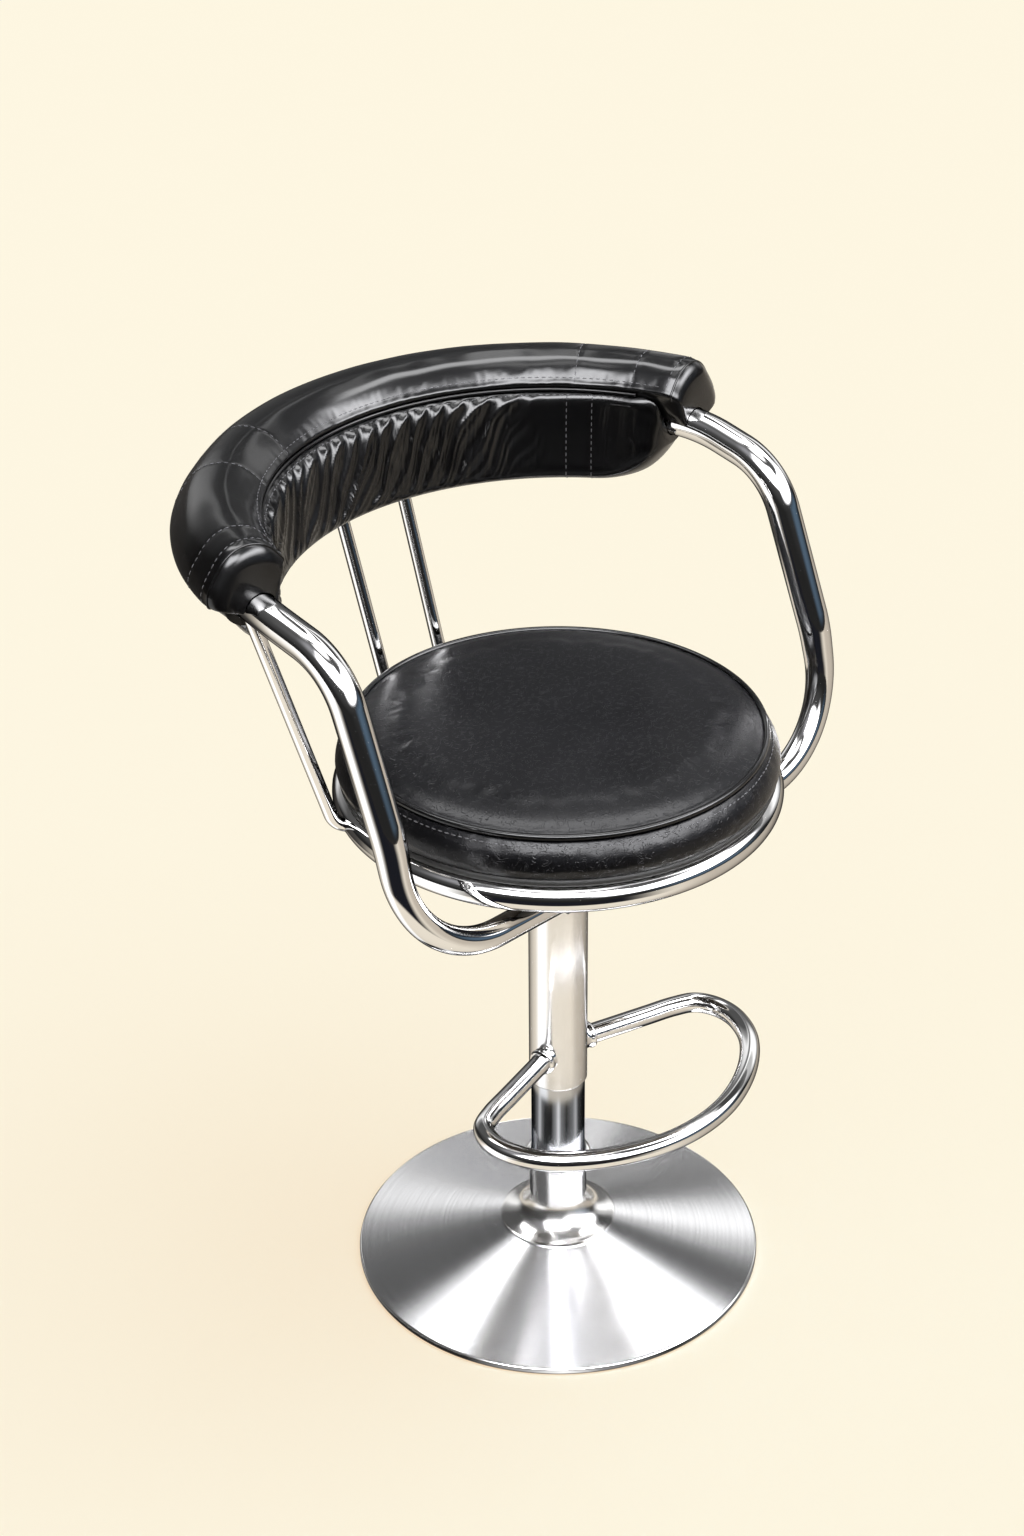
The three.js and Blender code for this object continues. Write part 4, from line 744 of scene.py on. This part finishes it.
def toTube(angle):
    offset = arm["backStart"] - back["centreY"]
    a = (math.sin(angle) / arm["halfWidth"]) ** 2 + (math.cos(angle) / arm["backDepth"]) ** 2
    b = offset * math.cos(angle) / arm["backDepth"] ** 2
    c = (offset / arm["backDepth"]) ** 2 - 1
    return (b + math.sqrt(b * b - a * c)) / a


def endShare(angle, endDegrees, stretchDegrees, power=2.0):
    past = (abs(angle) - math.radians(endDegrees - stretchDegrees)) / math.radians(stretchDegrees)
    return (1 - clamp(past) ** power) ** (1 / power)


def measuresAt(angle, endDegrees):
    reach = toTube(angle)
    y = back["centreY"] + reach * math.cos(angle)
    shape = math.acos(clamp((y - arm["backStart"]) / arm["backDepth"], -1, 1))
    return {
        "angle": angle, "tube": reach, "tubeHeight": backPoint(shape).z,
        "seam": toCircle(angle, back["seam"]) - reach,
        "inner": toCircle(angle, back["inner"]) - reach,
        "outer": toCircle(angle, back["outer"]) - reach,
        "nose": endShare(angle, endDegrees, back["noseAngle"], back["bluntness"]),
        "lift": endShare(angle, endDegrees, back["liftAngle"]),
    }


# From the seam, 0, out to the roll's outer side, 1
def outAt(m, share):
    return lerp(m["seam"], m["outer"], share)


def placeOut(m, out, up):
    reach = m["tube"] + out
    return Vector((reach * math.sin(m["angle"]), back["centreY"] + reach * math.cos(m["angle"]),
                   m["tubeHeight"] + up))


def grooveArc(fromDegrees, toDegrees, count=6):
    radius = arm["thick"] + back["clearance"]
    angles = [math.radians(lerp(fromDegrees, toDegrees, i / count)) for i in range(count + 1)]
    return [Vector((radius * math.cos(a), radius * math.sin(a))) for a in angles]


def stationAngles(endDegrees, count):
    plain = endDegrees - back["noseAngle"]
    rows = back["noseRows"]
    nose = [plain + back["noseAngle"] * math.sin(math.pi / 2 * k / rows)
            for k in range(1, rows + 1)]
    between = [lerp(-plain, plain, i / count) for i in range(count + 1)]
    return [math.radians(a) for a in [*[-a for a in reversed(nose)], *between, *nose]]


roll = {
    "stations": 300, "smoothing": 4, "seamDrop": 0.86, "edge": (0.94, 0.6),
    "over": [(0, 0), (0.045, 0.2), (0.10, 0.43), (0.165, 0.65), (0.27, 0.87), (0.45, 1),
             (0.62, 0.9), (0.77, 0.55), (0.88, 0.05), (0.955, -0.31), (1, -0.69), (0.985, -0.95)],
    "groove": (8, 167), "pucker": 0.0004, "puckerScale": 130, "swell": 0.0005, "swellScale": 22,
    "crossSeams": [-71.5, -44.0, -27.0, 56.0, 69.0], "seamDepth": 0.0004, "seamWidth": 0.0014,
}


def rollSection(m):
    crownUp = back["rollTop"] - arm["backHeight"]
    edge = Vector((outAt(m, roll["edge"][0]), arm["thick"] * roll["edge"][1]))
    points = [Vector((outAt(m, back["seamShare"]), seamUp * roll["seamDrop"]))]
    for out, up in roll["over"]:
        height = lerp(seamUp, crownUp if up > 0 else edge.y, abs(up))
        points.append(Vector((outAt(m, out), height)))
    points.append(edge)
    drawn = []
    for p in points:
        kept = min(p.length, back["cuff"]) + max(0.0, p.length - back["cuff"]) * m["nose"]
        drawn.append(p * (kept / p.length))
    return [*drawn, *grooveArc(*roll["groove"])]


def makeRoll():
    rows = []
    crossings = [math.radians(a) for a in roll["crossSeams"]]
    for angle in stationAngles(back["rollEnd"], roll["stations"]):
        m = measuresAt(angle, back["rollEnd"])
        arc = angle * back["meanReach"]
        row = []
        for k, p in enumerate(throughPoints(rollSection(m), roll["smoothing"], True)):
            share = k / roll["smoothing"]        # which control point this is near
            onTop = smooth(0.3, 1.6, share) * (1 - smooth(10.5, 12.5, share))
            wave = noiseAt(arc * roll["swellScale"], share * 0.55, 3.1) * roll["swell"]
            gather = noiseAt(arc * roll["puckerScale"], share * 0.3, 8.0)
            wave += gather * roll["pucker"] * (1 - smooth(1.0, 4.2, share))
            for crossing in crossings:
                across = abs(angle - crossing) * back["meanReach"]
                wave -= roll["seamDepth"] * math.exp(-(across / roll["seamWidth"]) ** 2)
            push = onTop * wave
            outward = Vector((p.x, p.y)).normalized()
            row.append(placeOut(m, p.x + outward.x * push, p.y + outward.y * push))
        rows.append(row)
    piece = skin("backrest_roll", rows, "leather")
    return settle(piece, "seat", ["back_roll"])


panel = {
    "stations": 680, "smoothing": 8, "seamDrop": 0.8, "edge": (0.93, 0.53),
    "face": [(0.55, 0.68), (0.9, 0.24), (1.02, -0.3), (1.06, -0.72)],
    "underside": [((0.08, 0.93), (-0.66, -0.93)), ((0.5, 1), (-0.33, -1)),
                  ((1.1, 0.965), (0.16, -0.965))],
    "wrapOut": 0.75, "wrapEnd": -0.9, "groove": (-4, -171), "faceKnots": 4.6, "folded": 1.3,
    "foldStart": -70.4, "foldEnd": 50.0, "foldFade": 20.0, "petals": 22, "depth": 0.0050,
    "lean": 13.0, "spread": 0.22, "ridge": 0.17, "ripple": 0.0004, "lip": 0.0014,
    "endBulge": (70.5, 4.5, 0.0022), "crossSeams": [54.5, 60.5],
}


# How far the gathered face stands out at an angle, s from the seam down to the lower edge. Each
# petal is a pair of sharp pleats that meet under the seam and run down side by side.
def foldHeight(degrees, s):
    shift = noiseAt(degrees * 0.06, 2.2, 0.3) * 0.8
    wander = noiseAt(degrees * 0.16, s * 1.6, 1.7) * 0.5
    place = (degrees + panel["lean"] * s ** 1.3 - panel["foldStart"]) / (
        panel["foldEnd"] - panel["foldStart"])
    phase = place * panel["petals"] + shift + wander * smooth(0.1, 0.8, s)
    number = math.floor(phase)
    height = 0.0
    for petal in (number - 1, number, number + 1):
        size = 0.75 + 0.6 * noiseAt(petal * 3.7, 0.4, 9.0)
        apart = panel["spread"] * (0.8 + 0.5 * noiseAt(petal * 5.1, 7.0, 0)) * smooth(0.02, 0.42, s)
        width = panel["ridge"] * lerp(1.45, 0.85, smooth(0.1, 0.6, s))
        for side, weight in ((-1, 1.0), (1, 0.72)):
            away = abs(phase - (petal + 0.5) - side * apart) / width
            height += size * weight * math.exp(-(away ** 1.5))
    return min(height, 1.5)


def foldDepth(degrees, s):
    fade = clamp((panel["foldEnd"] - degrees) / panel["foldFade"]) ** 0.8
    rise = smooth(0.0, 0.32, s)
    drop = 1 - smooth(0.72, 1.12, s)
    ripple = noiseAt(degrees * 1.3 + s * 4.0, s * 1.5, 5.0)
    fine = noiseAt(degrees * 3.1 + s * 9.0, s * 2.6, 2.0)
    small = panel["ripple"] * (ripple + 0.5 * fine) * lerp(0.25, 1.0, fade)
    lip = panel["lip"] * smooth(0.8, 0.98, s) * (1 - smooth(1.0, 1.2, s))
    bulgeAt, bulgeWidth, bulgeHeight = panel["endBulge"]
    lip += bulgeHeight * math.exp(-((abs(degrees) - bulgeAt) / bulgeWidth) ** 2) * rise * drop
    if fade <= 0:
        return rise * drop * small + lip
    return rise * drop * (panel["depth"] * fade * (foldHeight(degrees, s) - 0.55) + small) + lip


def panelSection(m):
    low = back["panelBottom"] - arm["backHeight"]
    bottom = lerp(-back["cuff"], low, m["lift"])
    points = [(outAt(m, back["seamShare"]), seamUp * panel["seamDrop"])]
    for inward, up in panel["face"]:
        points.append((lerp(m["seam"], m["inner"], inward),
                       seamUp * up if up > 0 else -bottom * up))
    for full, end in panel["underside"]:
        points.append((
            lerp(back["cuff"] * end[0], m["inner"] + back["panelThickness"] * full[0], m["lift"]),
            lerp(back["cuff"] * end[1], low * full[1], m["lift"])))
    wrapUp = lerp(back["cuff"] * panel["wrapEnd"], -back["wrapDrop"], m["lift"])
    points.append((arm["thick"] * panel["wrapOut"], wrapUp))
    points.append((outAt(m, panel["edge"][0]), arm["thick"] * panel["edge"][1]))
    last = len(points) - 1
    closedIn = []
    for k, p in enumerate(points):
        angle = math.pi * (1 + k / last)
        rounded = Vector((math.cos(angle), math.sin(angle))) * back["cuff"]
        closedIn.append(rounded.lerp(Vector(p), m["nose"]))
    return [*closedIn, *grooveArc(*panel["groove"])]


def makePanel():
    rows = []
    for angle in stationAngles(back["panelEnd"], panel["stations"]):
        m = measuresAt(angle, back["panelEnd"])
        degrees = math.degrees(angle)
        row = []
        for k, p in enumerate(throughPoints(panelSection(m), panel["smoothing"], True)):
            s = k / panel["smoothing"] / panel["faceKnots"]
            push = foldDepth(degrees, s) * m["lift"] if s < panel["folded"] else 0.0
            row.append(placeOut(m, p.x - push, p.y))
        rows.append(row)
    piece = skin("backrest_panel", rows, "leather")
    return settle(piece, "seat", ["back_panel"])


# Where the roll's cover is sewn down or wraps the tube, it can't swell.
def heldOnRoll(piece):
    held = {}
    plain = back["rollEnd"] - back["noseAngle"]
    for vertex in piece.data.vertices:
        x, y, z = vertex.co
        angle = math.atan2(x, y - back["centreY"])
        m = measuresAt(angle, back["rollEnd"])
        out, up = math.hypot(x, y - back["centreY"]) - m["tube"], z - m["tubeHeight"]
        sewn = out < outAt(m, 0.1) and up < seamUp * 1.1
        gripped = math.hypot(out, up) < arm["thick"] + 0.003
        bearing = math.degrees(angle)
        crossed = min(abs(bearing - seam) for seam in roll["crossSeams"]) < 0.5
        held[vertex.index] = float(sewn or gripped or crossed or abs(bearing) > plain)
    return held


backRollPiece = makeRoll()
puff(backRollPiece, heldOnRoll(backRollPiece), pressure=4.0, cap=0.0006)
backPanelPiece = makePanel()
print("backrest: done")


# The crown is (share of the seam's radius, drop from the top) and the side (radius, height). The
# notch is given from the seam, and so are the shoulder's heights.
cushion = {
    "seamRadius": 0.1835, "seamHeight": 0.5753, "crownTop": 0.590, "steps": 256, "boardTop": 0.5306,
    "crown": [(0.0, 0.0), (0.25, 0.0001), (0.45, 0.0005), (0.62, 0.0013), (0.76, 0.0023),
              (0.85, 0.0037), (0.90, 0.0057), (0.935, 0.0081), (0.965, 0.0109)],
    "crownEdge": (0.982, 0.0018),
    "notch": [(-0.0022, 0.0012), (-0.0027, -0.0008), (-0.0006, -0.0026)],
    "shoulder": [(0.1853, -0.0024), (0.1886, -0.0058), (0.1925, -0.0120)],
    "side": [(0.1967, 0.551), (0.1958, 0.5455), (0.1934, 0.5415), (0.1905, 0.5412),
             (0.1868, 0.5408), (0.1853, 0.5388), (0.1846, 0.5345), (0.172, 0.5306)],
    "pucker": 0.00035, "puckerScale": 46.8, "wave": 0.0005, "waveScale": 14,
    "heldBelow": 0.5425, "heldRing": (0.1785, 0.1865, 0.568),
}
piping = {"radius": cushion["seamRadius"], "rise": 0.0012, "tube": 0.0028, "sides": 14,
          "steps": 288}
bead = {"radius": 0.190, "tube": 0.004, "height": 0.5368, "sides": 14, "steps": 288}


def makeSeat():
    seam, top, height = cushion["seamRadius"], cushion["crownTop"], cushion["seamHeight"]
    points = [
        *((seam * share, top - drop) for share, drop in cushion["crown"]),
        (seam * cushion["crownEdge"][0], height + cushion["crownEdge"][1]),
        *((seam + out, height + up) for out, up in cushion["notch"]),
        *((radius, height + up) for radius, up in cushion["shoulder"]), *cushion["side"]]
    outline = throughPoints([Vector((r, 0, z)) for r, z in points], 5, False)
    bm = bmesh.new()
    verts = [bm.verts.new(p) for p in outline] + [bm.verts.new((0, 0, cushion["boardTop"]))]
    for pair in zip(verts, verts[1:]):
        bm.edges.new(pair)
    spin(bm, cushion["steps"])
    for vertex in bm.verts:              # small puckers that the seam pulls into the cover
        reach, scale = reachOf(vertex.co), cushion["puckerScale"]
        angle = math.atan2(vertex.co.y, vertex.co.x)
        near = smooth(0.150, 0.176, reach) * (vertex.co.z > 0.545)
        fine = noiseAt(math.cos(angle) * scale, math.sin(angle) * scale, reach * 20)
        vertex.co.z += fine * cushion["pucker"] * near
        wave = noise.noise(vertex.co * cushion["waveScale"])
        vertex.co.z += wave * cushion["wave"] * (vertex.co.z > 0.58)
    pad = finishMesh(bm, "seat_pad", ["seat_leather"], 70)
    settle(pad, "seat", ["seat_cushion"])
    welt = hoop("seat_piping", piping, height + piping["rise"], "leather")
    settle(welt, "seat", ["seat_welt"])
    band = hoop("seat_bead_band", bead, bead["height"], "rubber")
    settle(band, "seat", ["seat_bead"])
    return pad


def heldOnSeat(piece):
    inner, outer, low = cushion["heldRing"]
    held = {}
    for vertex in piece.data.vertices:
        nearSeam = inner < reachOf(vertex.co) < outer and vertex.co.z > low
        held[vertex.index] = float(nearSeam or vertex.co.z < cushion["heldBelow"])
    return held


seatPad = makeSeat()
puff(seatPad, heldOnSeat(seatPad), pressure=4.0, cap=0.0009, shrink=-0.002)
print("seat: done")


stitch = {"length": 0.0042, "pitch": 0.0062, "thickness": 0.00045, "lift": 0.0001}
seatStitch = {"length": 0.0046, "pitch": 0.0064, "thickness": 0.0006, "lift": 0.0003}
seams = {
    "reach": 75.0, "steps": 300, "rollShare": 0.045, "rollUp": 1.16, "panelShare": 0.3,
    "panelUp": 0.74, "panelReach": 69, "rollKnots": 14, "panelKnots": 7, "seatRadius": 0.1885,
    "seatHeight": 0.5690,
}


def surfaceOf(piece):
    bm = bmesh.new()
    bm.from_mesh(piece.data)
    tree = BVHTree.FromBMesh(bm)
    bm.free()
    return tree


# Walks a line and lays a short thread on the surface at every pitch.
def sewRow(bm, surface, line, look=stitch):
    total, due = 0.0, look["pitch"] / 2
    for start, end in zip(line, line[1:]):
        step = (end - start).length
        while step > 0 and due <= total + step:
            at = start.lerp(end, (due - total) / step)
            hit, normal, _, _ = surface.find_nearest(at)
            along = (end - start).normalized()
            along = (along - normal * along.dot(normal)).normalized()
            across = normal.cross(along)
            turn = Matrix((along, across, normal)).transposed().to_4x4()
            size = Matrix.Diagonal((look["length"] / 2, look["thickness"], look["thickness"], 1))
            where = Matrix.Translation(hit + normal * look["lift"])
            upright = Matrix.Rotation(math.pi / 2, 4, "Y")
            bmesh.ops.create_uvsphere(bm, u_segments=6, v_segments=4, radius=1,
                                      matrix=where @ turn @ size @ upright)
            due += look["pitch"]
        total += step


# Points over the roll, or down the panel's face, at a bearing
def overRoll(degrees):
    m = measuresAt(math.radians(degrees), back["rollEnd"])
    line = throughPoints(rollSection(m)[:seams["rollKnots"]], 6, False)
    return [placeOut(m, p.x, p.y) for p in line]


def downPanel(degrees):
    m = measuresAt(math.radians(degrees), back["panelEnd"])
    line = throughPoints(panelSection(m)[:seams["panelKnots"]], 6, False)
    return [placeOut(m, p.x, p.y) for p in line]


def makeStitches():
    bm = bmesh.new()
    rollSurface, panelSurface = surfaceOf(backRollPiece), surfaceOf(backPanelPiece)
    above, below = [], []
    for i in range(seams["steps"] + 1):
        degrees = lerp(-seams["reach"], seams["reach"], i / seams["steps"])
        m = measuresAt(math.radians(degrees), back["rollEnd"])
        above.append(placeOut(m, outAt(m, seams["rollShare"]), seamUp * seams["rollUp"]))
        if abs(degrees) < seams["panelReach"]:
            below.append(placeOut(m, lerp(m["seam"], m["inner"], seams["panelShare"]),
                                  seamUp * seams["panelUp"]))
    sewRow(bm, rollSurface, above)
    sewRow(bm, panelSurface, below)
    for degrees in roll["crossSeams"]:
        sewRow(bm, rollSurface, overRoll(degrees)[8:])
    for degrees in panel["crossSeams"]:
        sewRow(bm, panelSurface, downPanel(degrees)[3:])
    for side in (-1, 1):
        sewRow(bm, rollSurface, overRoll(side * back["endStitch"])[6:])
    settle(finishMesh(bm, "backrest_stitches", ["thread"]), "seat")
    bm = bmesh.new()
    reach, height = seams["seatRadius"], seams["seatHeight"]
    ring = [Vector((reach * math.cos(a), reach * math.sin(a), height))
            for a in (fullTurn * i / 360 for i in range(361))]
    sewRow(bm, surfaceOf(seatPad), ring, seatStitch)
    settle(finishMesh(bm, "seat_stitches", ["thread"]), "seat")


backPiping = {"reach": 70.4, "steps": 240, "drop": 0.865, "radius": 0.0015, "endRadius": 0.0011}


def cord(name, line, radius, nodes=()):
    piece = tube(name, line, [radius] * len(line), "leather", sides=3)
    settle(piece, "seat", nodes)


def makeBackPiping():
    line = []
    for i in range(backPiping["steps"] + 1):
        degrees = lerp(-backPiping["reach"], backPiping["reach"], i / backPiping["steps"])
        m = measuresAt(math.radians(degrees), back["rollEnd"])
        line.append(placeOut(m, m["seam"], seamUp * backPiping["drop"]))
    cord("backrest_piping", line, backPiping["radius"], ["back_welt"])
    for name, side in (("left", 1), ("right", -1)):
        line = overRoll(side * back["endPiping"])
        cord(f"backrest_end_piping_{name}", line, backPiping["endRadius"])


makeStitches()
makeBackPiping()
print("stitches: done")


# Fitted to the photograph: the lens is 3100 pixels in a frame 1536 pixels tall.
cameraPlace = {
    "target": (0.0, 0.0, 0.535), "distance": 2.745, "azimuth": -45.0, "elevation": 30.6,
    "lensPixels": 3100, "framePixels": 1536, "sensor": 36, "shiftX": -0.030,
}


def makeCamera():
    a, e = math.radians(cameraPlace["azimuth"]), math.radians(cameraPlace["elevation"])
    backward = Vector((math.sin(a) * math.cos(e), -math.cos(a) * math.cos(e), math.sin(e)))
    data = bpy.data.cameras.new("camera")
    data.sensor_width = cameraPlace["sensor"]
    data.lens = cameraPlace["lensPixels"] / cameraPlace["framePixels"] * cameraPlace["sensor"]
    data.shift_x = cameraPlace["shiftX"]
    data.clip_end = 60
    camera = linked("camera", data)
    camera.location = Vector(cameraPlace["target"]) + backward * cameraPlace["distance"]
    camera.rotation_mode = "QUATERNION"
    camera.rotation_quaternion = (-backward).to_track_quat("-Z", "Y")
    bpy.context.scene.camera = camera


# Each side is (middle, half width, softness) in degrees. Streaks are (share of a turn, brightness).
# The sides, far sides and streaks are colours of a painted reflection that only glossy rays see.
floorLook = {
    "radius": 14.0, "color": (0.225, 0.405, 0.45), "glow": (0.757, 0.508, 0.294), "roughness": 0.9,
    "mirrored": (0.93, 0.85, 0.72), "nearRadius": (0.268, 0.282), "farRadius": (0.86, 1.0),
    "sides": [((-35, 38, 16), (0.62, 0.55, 0.46)), ((161, 20, 12), (1.5, 1.5, 1.5))],
    "farSides": [((-135, 44, 16), (0.012, 0.013, 0.018)), ((80, 50, 14), (0.08, 0.075, 0.07))],
    "paintedReflectionStreaks": [
        (0.0, 0.03), (0.1, 0.25), (0.135, 1.1), (0.16, 0.06), (0.19, 0.02), (0.30, 0.05),
        (0.36, 0.30), (0.40, 0.9), (0.43, 0.25), (0.47, 0.03), (0.55, 0.02), (0.6, 0.45),
        (0.63, 1.2), (0.66, 0.3), (0.72, 0.04), (0.80, 0.28), (0.84, 0.7), (0.88, 0.1),
        (0.95, 0.03)],
}


def azimuthOf(tree, vector):
    split = addNode(tree, "SeparateXYZ", {"Vector": vector})
    turn = math2(tree, "ARCTAN2", split.outputs["Y"], split.outputs["X"])
    return times(tree, turn, degree)


# 1 inside a sector of directions round the vertical axis
def sector(tree, azimuth, side):
    middle, half, soft = side
    offset = math2(tree, "SUBTRACT", azimuth, middle + 180.0)
    wrapped = math2(tree, "SUBTRACT", math2(tree, "FLOORED_MODULO", offset, 360.0), 180.0)
    return ramp(tree, math2(tree, "ABSOLUTE", wrapped), half + soft, half - soft)


def colorRamp(tree, value, stops):
    node = addNode(tree, "ValToRGB", {"Fac": value})
    while len(node.color_ramp.elements) < len(stops):
        node.color_ramp.elements.new(0.5)
    for element, (place, bright) in zip(node.color_ramp.elements, stops):
        element.position = place
        element.color = (bright, bright, bright, 1)
    return node.outputs["Color"]


# The paper sweep. Glossy rays see a glowing painted reflection instead, and metal mirrors it:
# painted flags, a dark camera side, and painted shade with light painted streaks round the column's
# foot. Part of its colour is its own glow, so that its shadows stay faint and warm.
def makeFloor():
    bm = bmesh.new()
    bmesh.ops.create_circle(bm, segments=96, radius=floorLook["radius"], cap_ends=True)
    floor = finishMesh(bm, "studio_floor", [])
    material, tree, shader, place = newMaterial("floor_paper", {
        "Roughness": floorLook["roughness"], "Specular IOR Level": 0.0,
        "Emission Color": (*floorLook["glow"], 1), "Emission Strength": 1.0})
    grain = noiseOf(tree, place, 9.0, 5.0, 0.6)
    paler = tuple(c * 0.985 for c in floorLook["color"])
    tree.links.new(mixColor(tree, grain, floorLook["color"], paler), shader.inputs["Base Color"])
    azimuth, reach = azimuthOf(tree, place), lengthOf(tree, place)
    # painted reflection: the colour that glossy rays see, with painted flags and a dark camera side
    mirrored = floorLook["mirrored"]
    for side, color in floorLook["sides"]:
        mirrored = mixColor(tree, sector(tree, azimuth, side), mirrored, color)
    far = ramp(tree, reach, *floorLook["farRadius"])
    for side, color in floorLook["farSides"]:
        mirrored = mixColor(tree, times(tree, far, sector(tree, azimuth, side)), mirrored, color)
    # painted shade with light painted streaks near the column, for its chrome to mirror
    turnShare = math2(tree, "FRACT", math2(tree, "DIVIDE", azimuth, 360.0))
    paintedStreaks = colorRamp(tree, turnShare, floorLook["paintedReflectionStreaks"])
    mirrored = mixColor(tree, ramp(tree, reach, *floorLook["nearRadius"]), paintedStreaks, mirrored)
    # the painted reflection glows, for glossy rays only
    glow = addNode(tree, "Emission", {"Color": mirrored})
    glossy = addNode(tree, "LightPath").outputs["Is Glossy Ray"]
    both = addNode(tree, "MixShader", {0: glossy})
    tree.links.new(shader.outputs[0], both.inputs[1])
    tree.links.new(glow.outputs[0], both.inputs[2])
    tree.links.new(both.outputs[0], tree.nodes["Material Output"].inputs["Surface"])
    floor.data.materials.append(material)


# The spokes, (share of a turn, brightness), stand round the direction that the base mirrors to the
# camera, as strip lights would. Each box is (azimuth, elevation, half width, half height, softness
# across and up, color), in degrees.
sky = {
    "camera": (0.991, 0.923, 0.753), "diffuse": (0.72, 0.72, 0.72),
    "ambient": [(0.0, 0.02), (0.50, 0.02), (0.545, 0.02), (0.60, 0.05), (0.75, 0.1), (1.0, 0.12)],
    "spokeMiddle": (45.0, 40.0), "spokeReach": (42.0, 62.0),
    "spokeCore": {"reach": (2.0, 6.0), "color": (0.26, 0.26, 0.27)},
    "spokes": [
        (0.0, 0.2), (0.03, 0.06), (0.08, 0.06), (0.10, 1.5), (0.135, 1.7), (0.15, 0.2),
        (0.175, 0.02), (0.195, 0.06), (0.208, 3.8), (0.236, 3.8), (0.245, 0.03), (0.253, 3.4),
        (0.262, 3.4), (0.270, 0.03), (0.30, 0.1), (0.315, 0.2), (0.325, 1.7), (0.352, 1.8),
        (0.368, 0.2), (0.42, 0.09), (0.52, 0.1), (0.57, 0.4), (0.60, 1.2), (0.63, 1.0),
        (0.665, 0.2), (0.755, 0.12), (0.77, 1.0), (0.785, 0.12), (0.88, 0.2), (0.915, 1.3),
        (0.95, 1.6), (0.975, 0.6)],
    "rim": {"reach": (33.0, 47.0, 4.0), "rise": (0.28, 0.48), "color": (11.0, 11.0, 11.1)},
    "boxes": [
        (-135, 79, 70, 4, (20, 6), (3.0, 3.0, 3.0)),
        (-66, 36, 38, 9, (20, 10), (19.0, 19.0, 19.5)),
        (-138, 49, 38, 11, (16, 7), (19.0, 19.0, 19.5)),
        (-56, 10, 26, 6, (14, 6), (0.09, 0.14, 0.20)),
        (165, 50, 16, 12, (14, 12), (0.35, 0.35, 0.37)),
    ],
}


def makeSky():
    world = bpy.data.worlds.new("studio")
    bpy.context.scene.world = world
    world.use_nodes = True
    world.cycles.sampling_method = "NONE"     # matt and glossy surfaces each see their own sky
    tree = world.node_tree
    tree.nodes.clear()
    direction = addNode(tree, "TexCoord").outputs["Generated"]
    split = addNode(tree, "SeparateXYZ", {"Vector": direction})
    elevation = times(tree, math2(tree, "ARCSINE", split.outputs["Z"]), degree)
    light = colorRamp(tree, math2(tree, "MULTIPLY_ADD", elevation, 1 / 180, 0.5), sky["ambient"])
    bearing, height = (math.radians(angle) for angle in sky["spokeMiddle"])
    middle = Vector((math.cos(bearing) * math.cos(height), math.sin(bearing) * math.cos(height),
                     math.sin(height)))
    right = Vector((math.sin(bearing), -math.cos(bearing), 0))
    dots = [addNode(tree, "VectorMath", {0: direction, 1: axis}, operation="DOT_PRODUCT")
            for axis in (middle, right.cross(middle), right)]
    along, rise, aside = (dot.outputs["Value"] for dot in dots)
    spread = times(tree, math2(tree, "ARCCOSINE", along), degree)
    turn = math2(tree, "ARCTAN2", rise, aside)
    share = math2(tree, "FRACT", math2(tree, "DIVIDE", turn, fullTurn))
    near = ramp(tree, spread, *reversed(sky["spokeReach"]))
    core = ramp(tree, spread, *reversed(sky["spokeCore"]["reach"]))
    spokes = mixColor(tree, core, colorRamp(tree, share, sky["spokes"]), sky["spokeCore"]["color"])
    light = mixColor(tree, near, light, spokes)
    inner, outer, soft = sky["rim"]["reach"]
    onRim = times(tree, ramp(tree, spread, inner - soft, inner + soft),
                  ramp(tree, spread, outer + soft, outer - soft))
    onRim = times(tree, onRim, ramp(tree, rise, *sky["rim"]["rise"]))
    light = mixColor(tree, onRim, light, sky["rim"]["color"])
    azimuth = azimuthOf(tree, direction)
    for side, up, wide, high, (sideSoft, topSoft), color in sky["boxes"]:
        above = math2(tree, "ABSOLUTE", math2(tree, "SUBTRACT", elevation, up))
        inside = times(tree, sector(tree, azimuth, (side, wide, sideSoft)),
                       ramp(tree, above, high + topSoft, max(high - topSoft, 0.0)))
        light = mixColor(tree, inside, light, color)
    path = addNode(tree, "LightPath")
    light = mixColor(tree, path.outputs["Is Diffuse Ray"], light, sky["diffuse"])
    light = mixColor(tree, path.outputs["Is Camera Ray"], light, sky["camera"])
    emitted = addNode(tree, "Background", {"Color": light, "Strength": 1.0})
    output = addNode(tree, "OutputWorld")
    tree.links.new(emitted.outputs[0], output.inputs["Surface"])


lamp = {"from": (0.42, -0.30, 1.0), "strength": 1.12, "softness": 62}


def makeLamp():
    data = bpy.data.lights.new("soft_lamp", "SUN")
    data.energy = lamp["strength"]
    data.angle = math.radians(lamp["softness"])
    holder = linked("soft_lamp", data)
    holder.rotation_mode = "QUATERNION"
    holder.rotation_quaternion = Vector(lamp["from"]).to_track_quat("Z", "Y")
    holder.visible_glossy = False


makeCamera()
makeFloor()
makeSky()
makeLamp()
bpy.context.scene.view_settings.view_transform = "Standard"
print("studio: done")
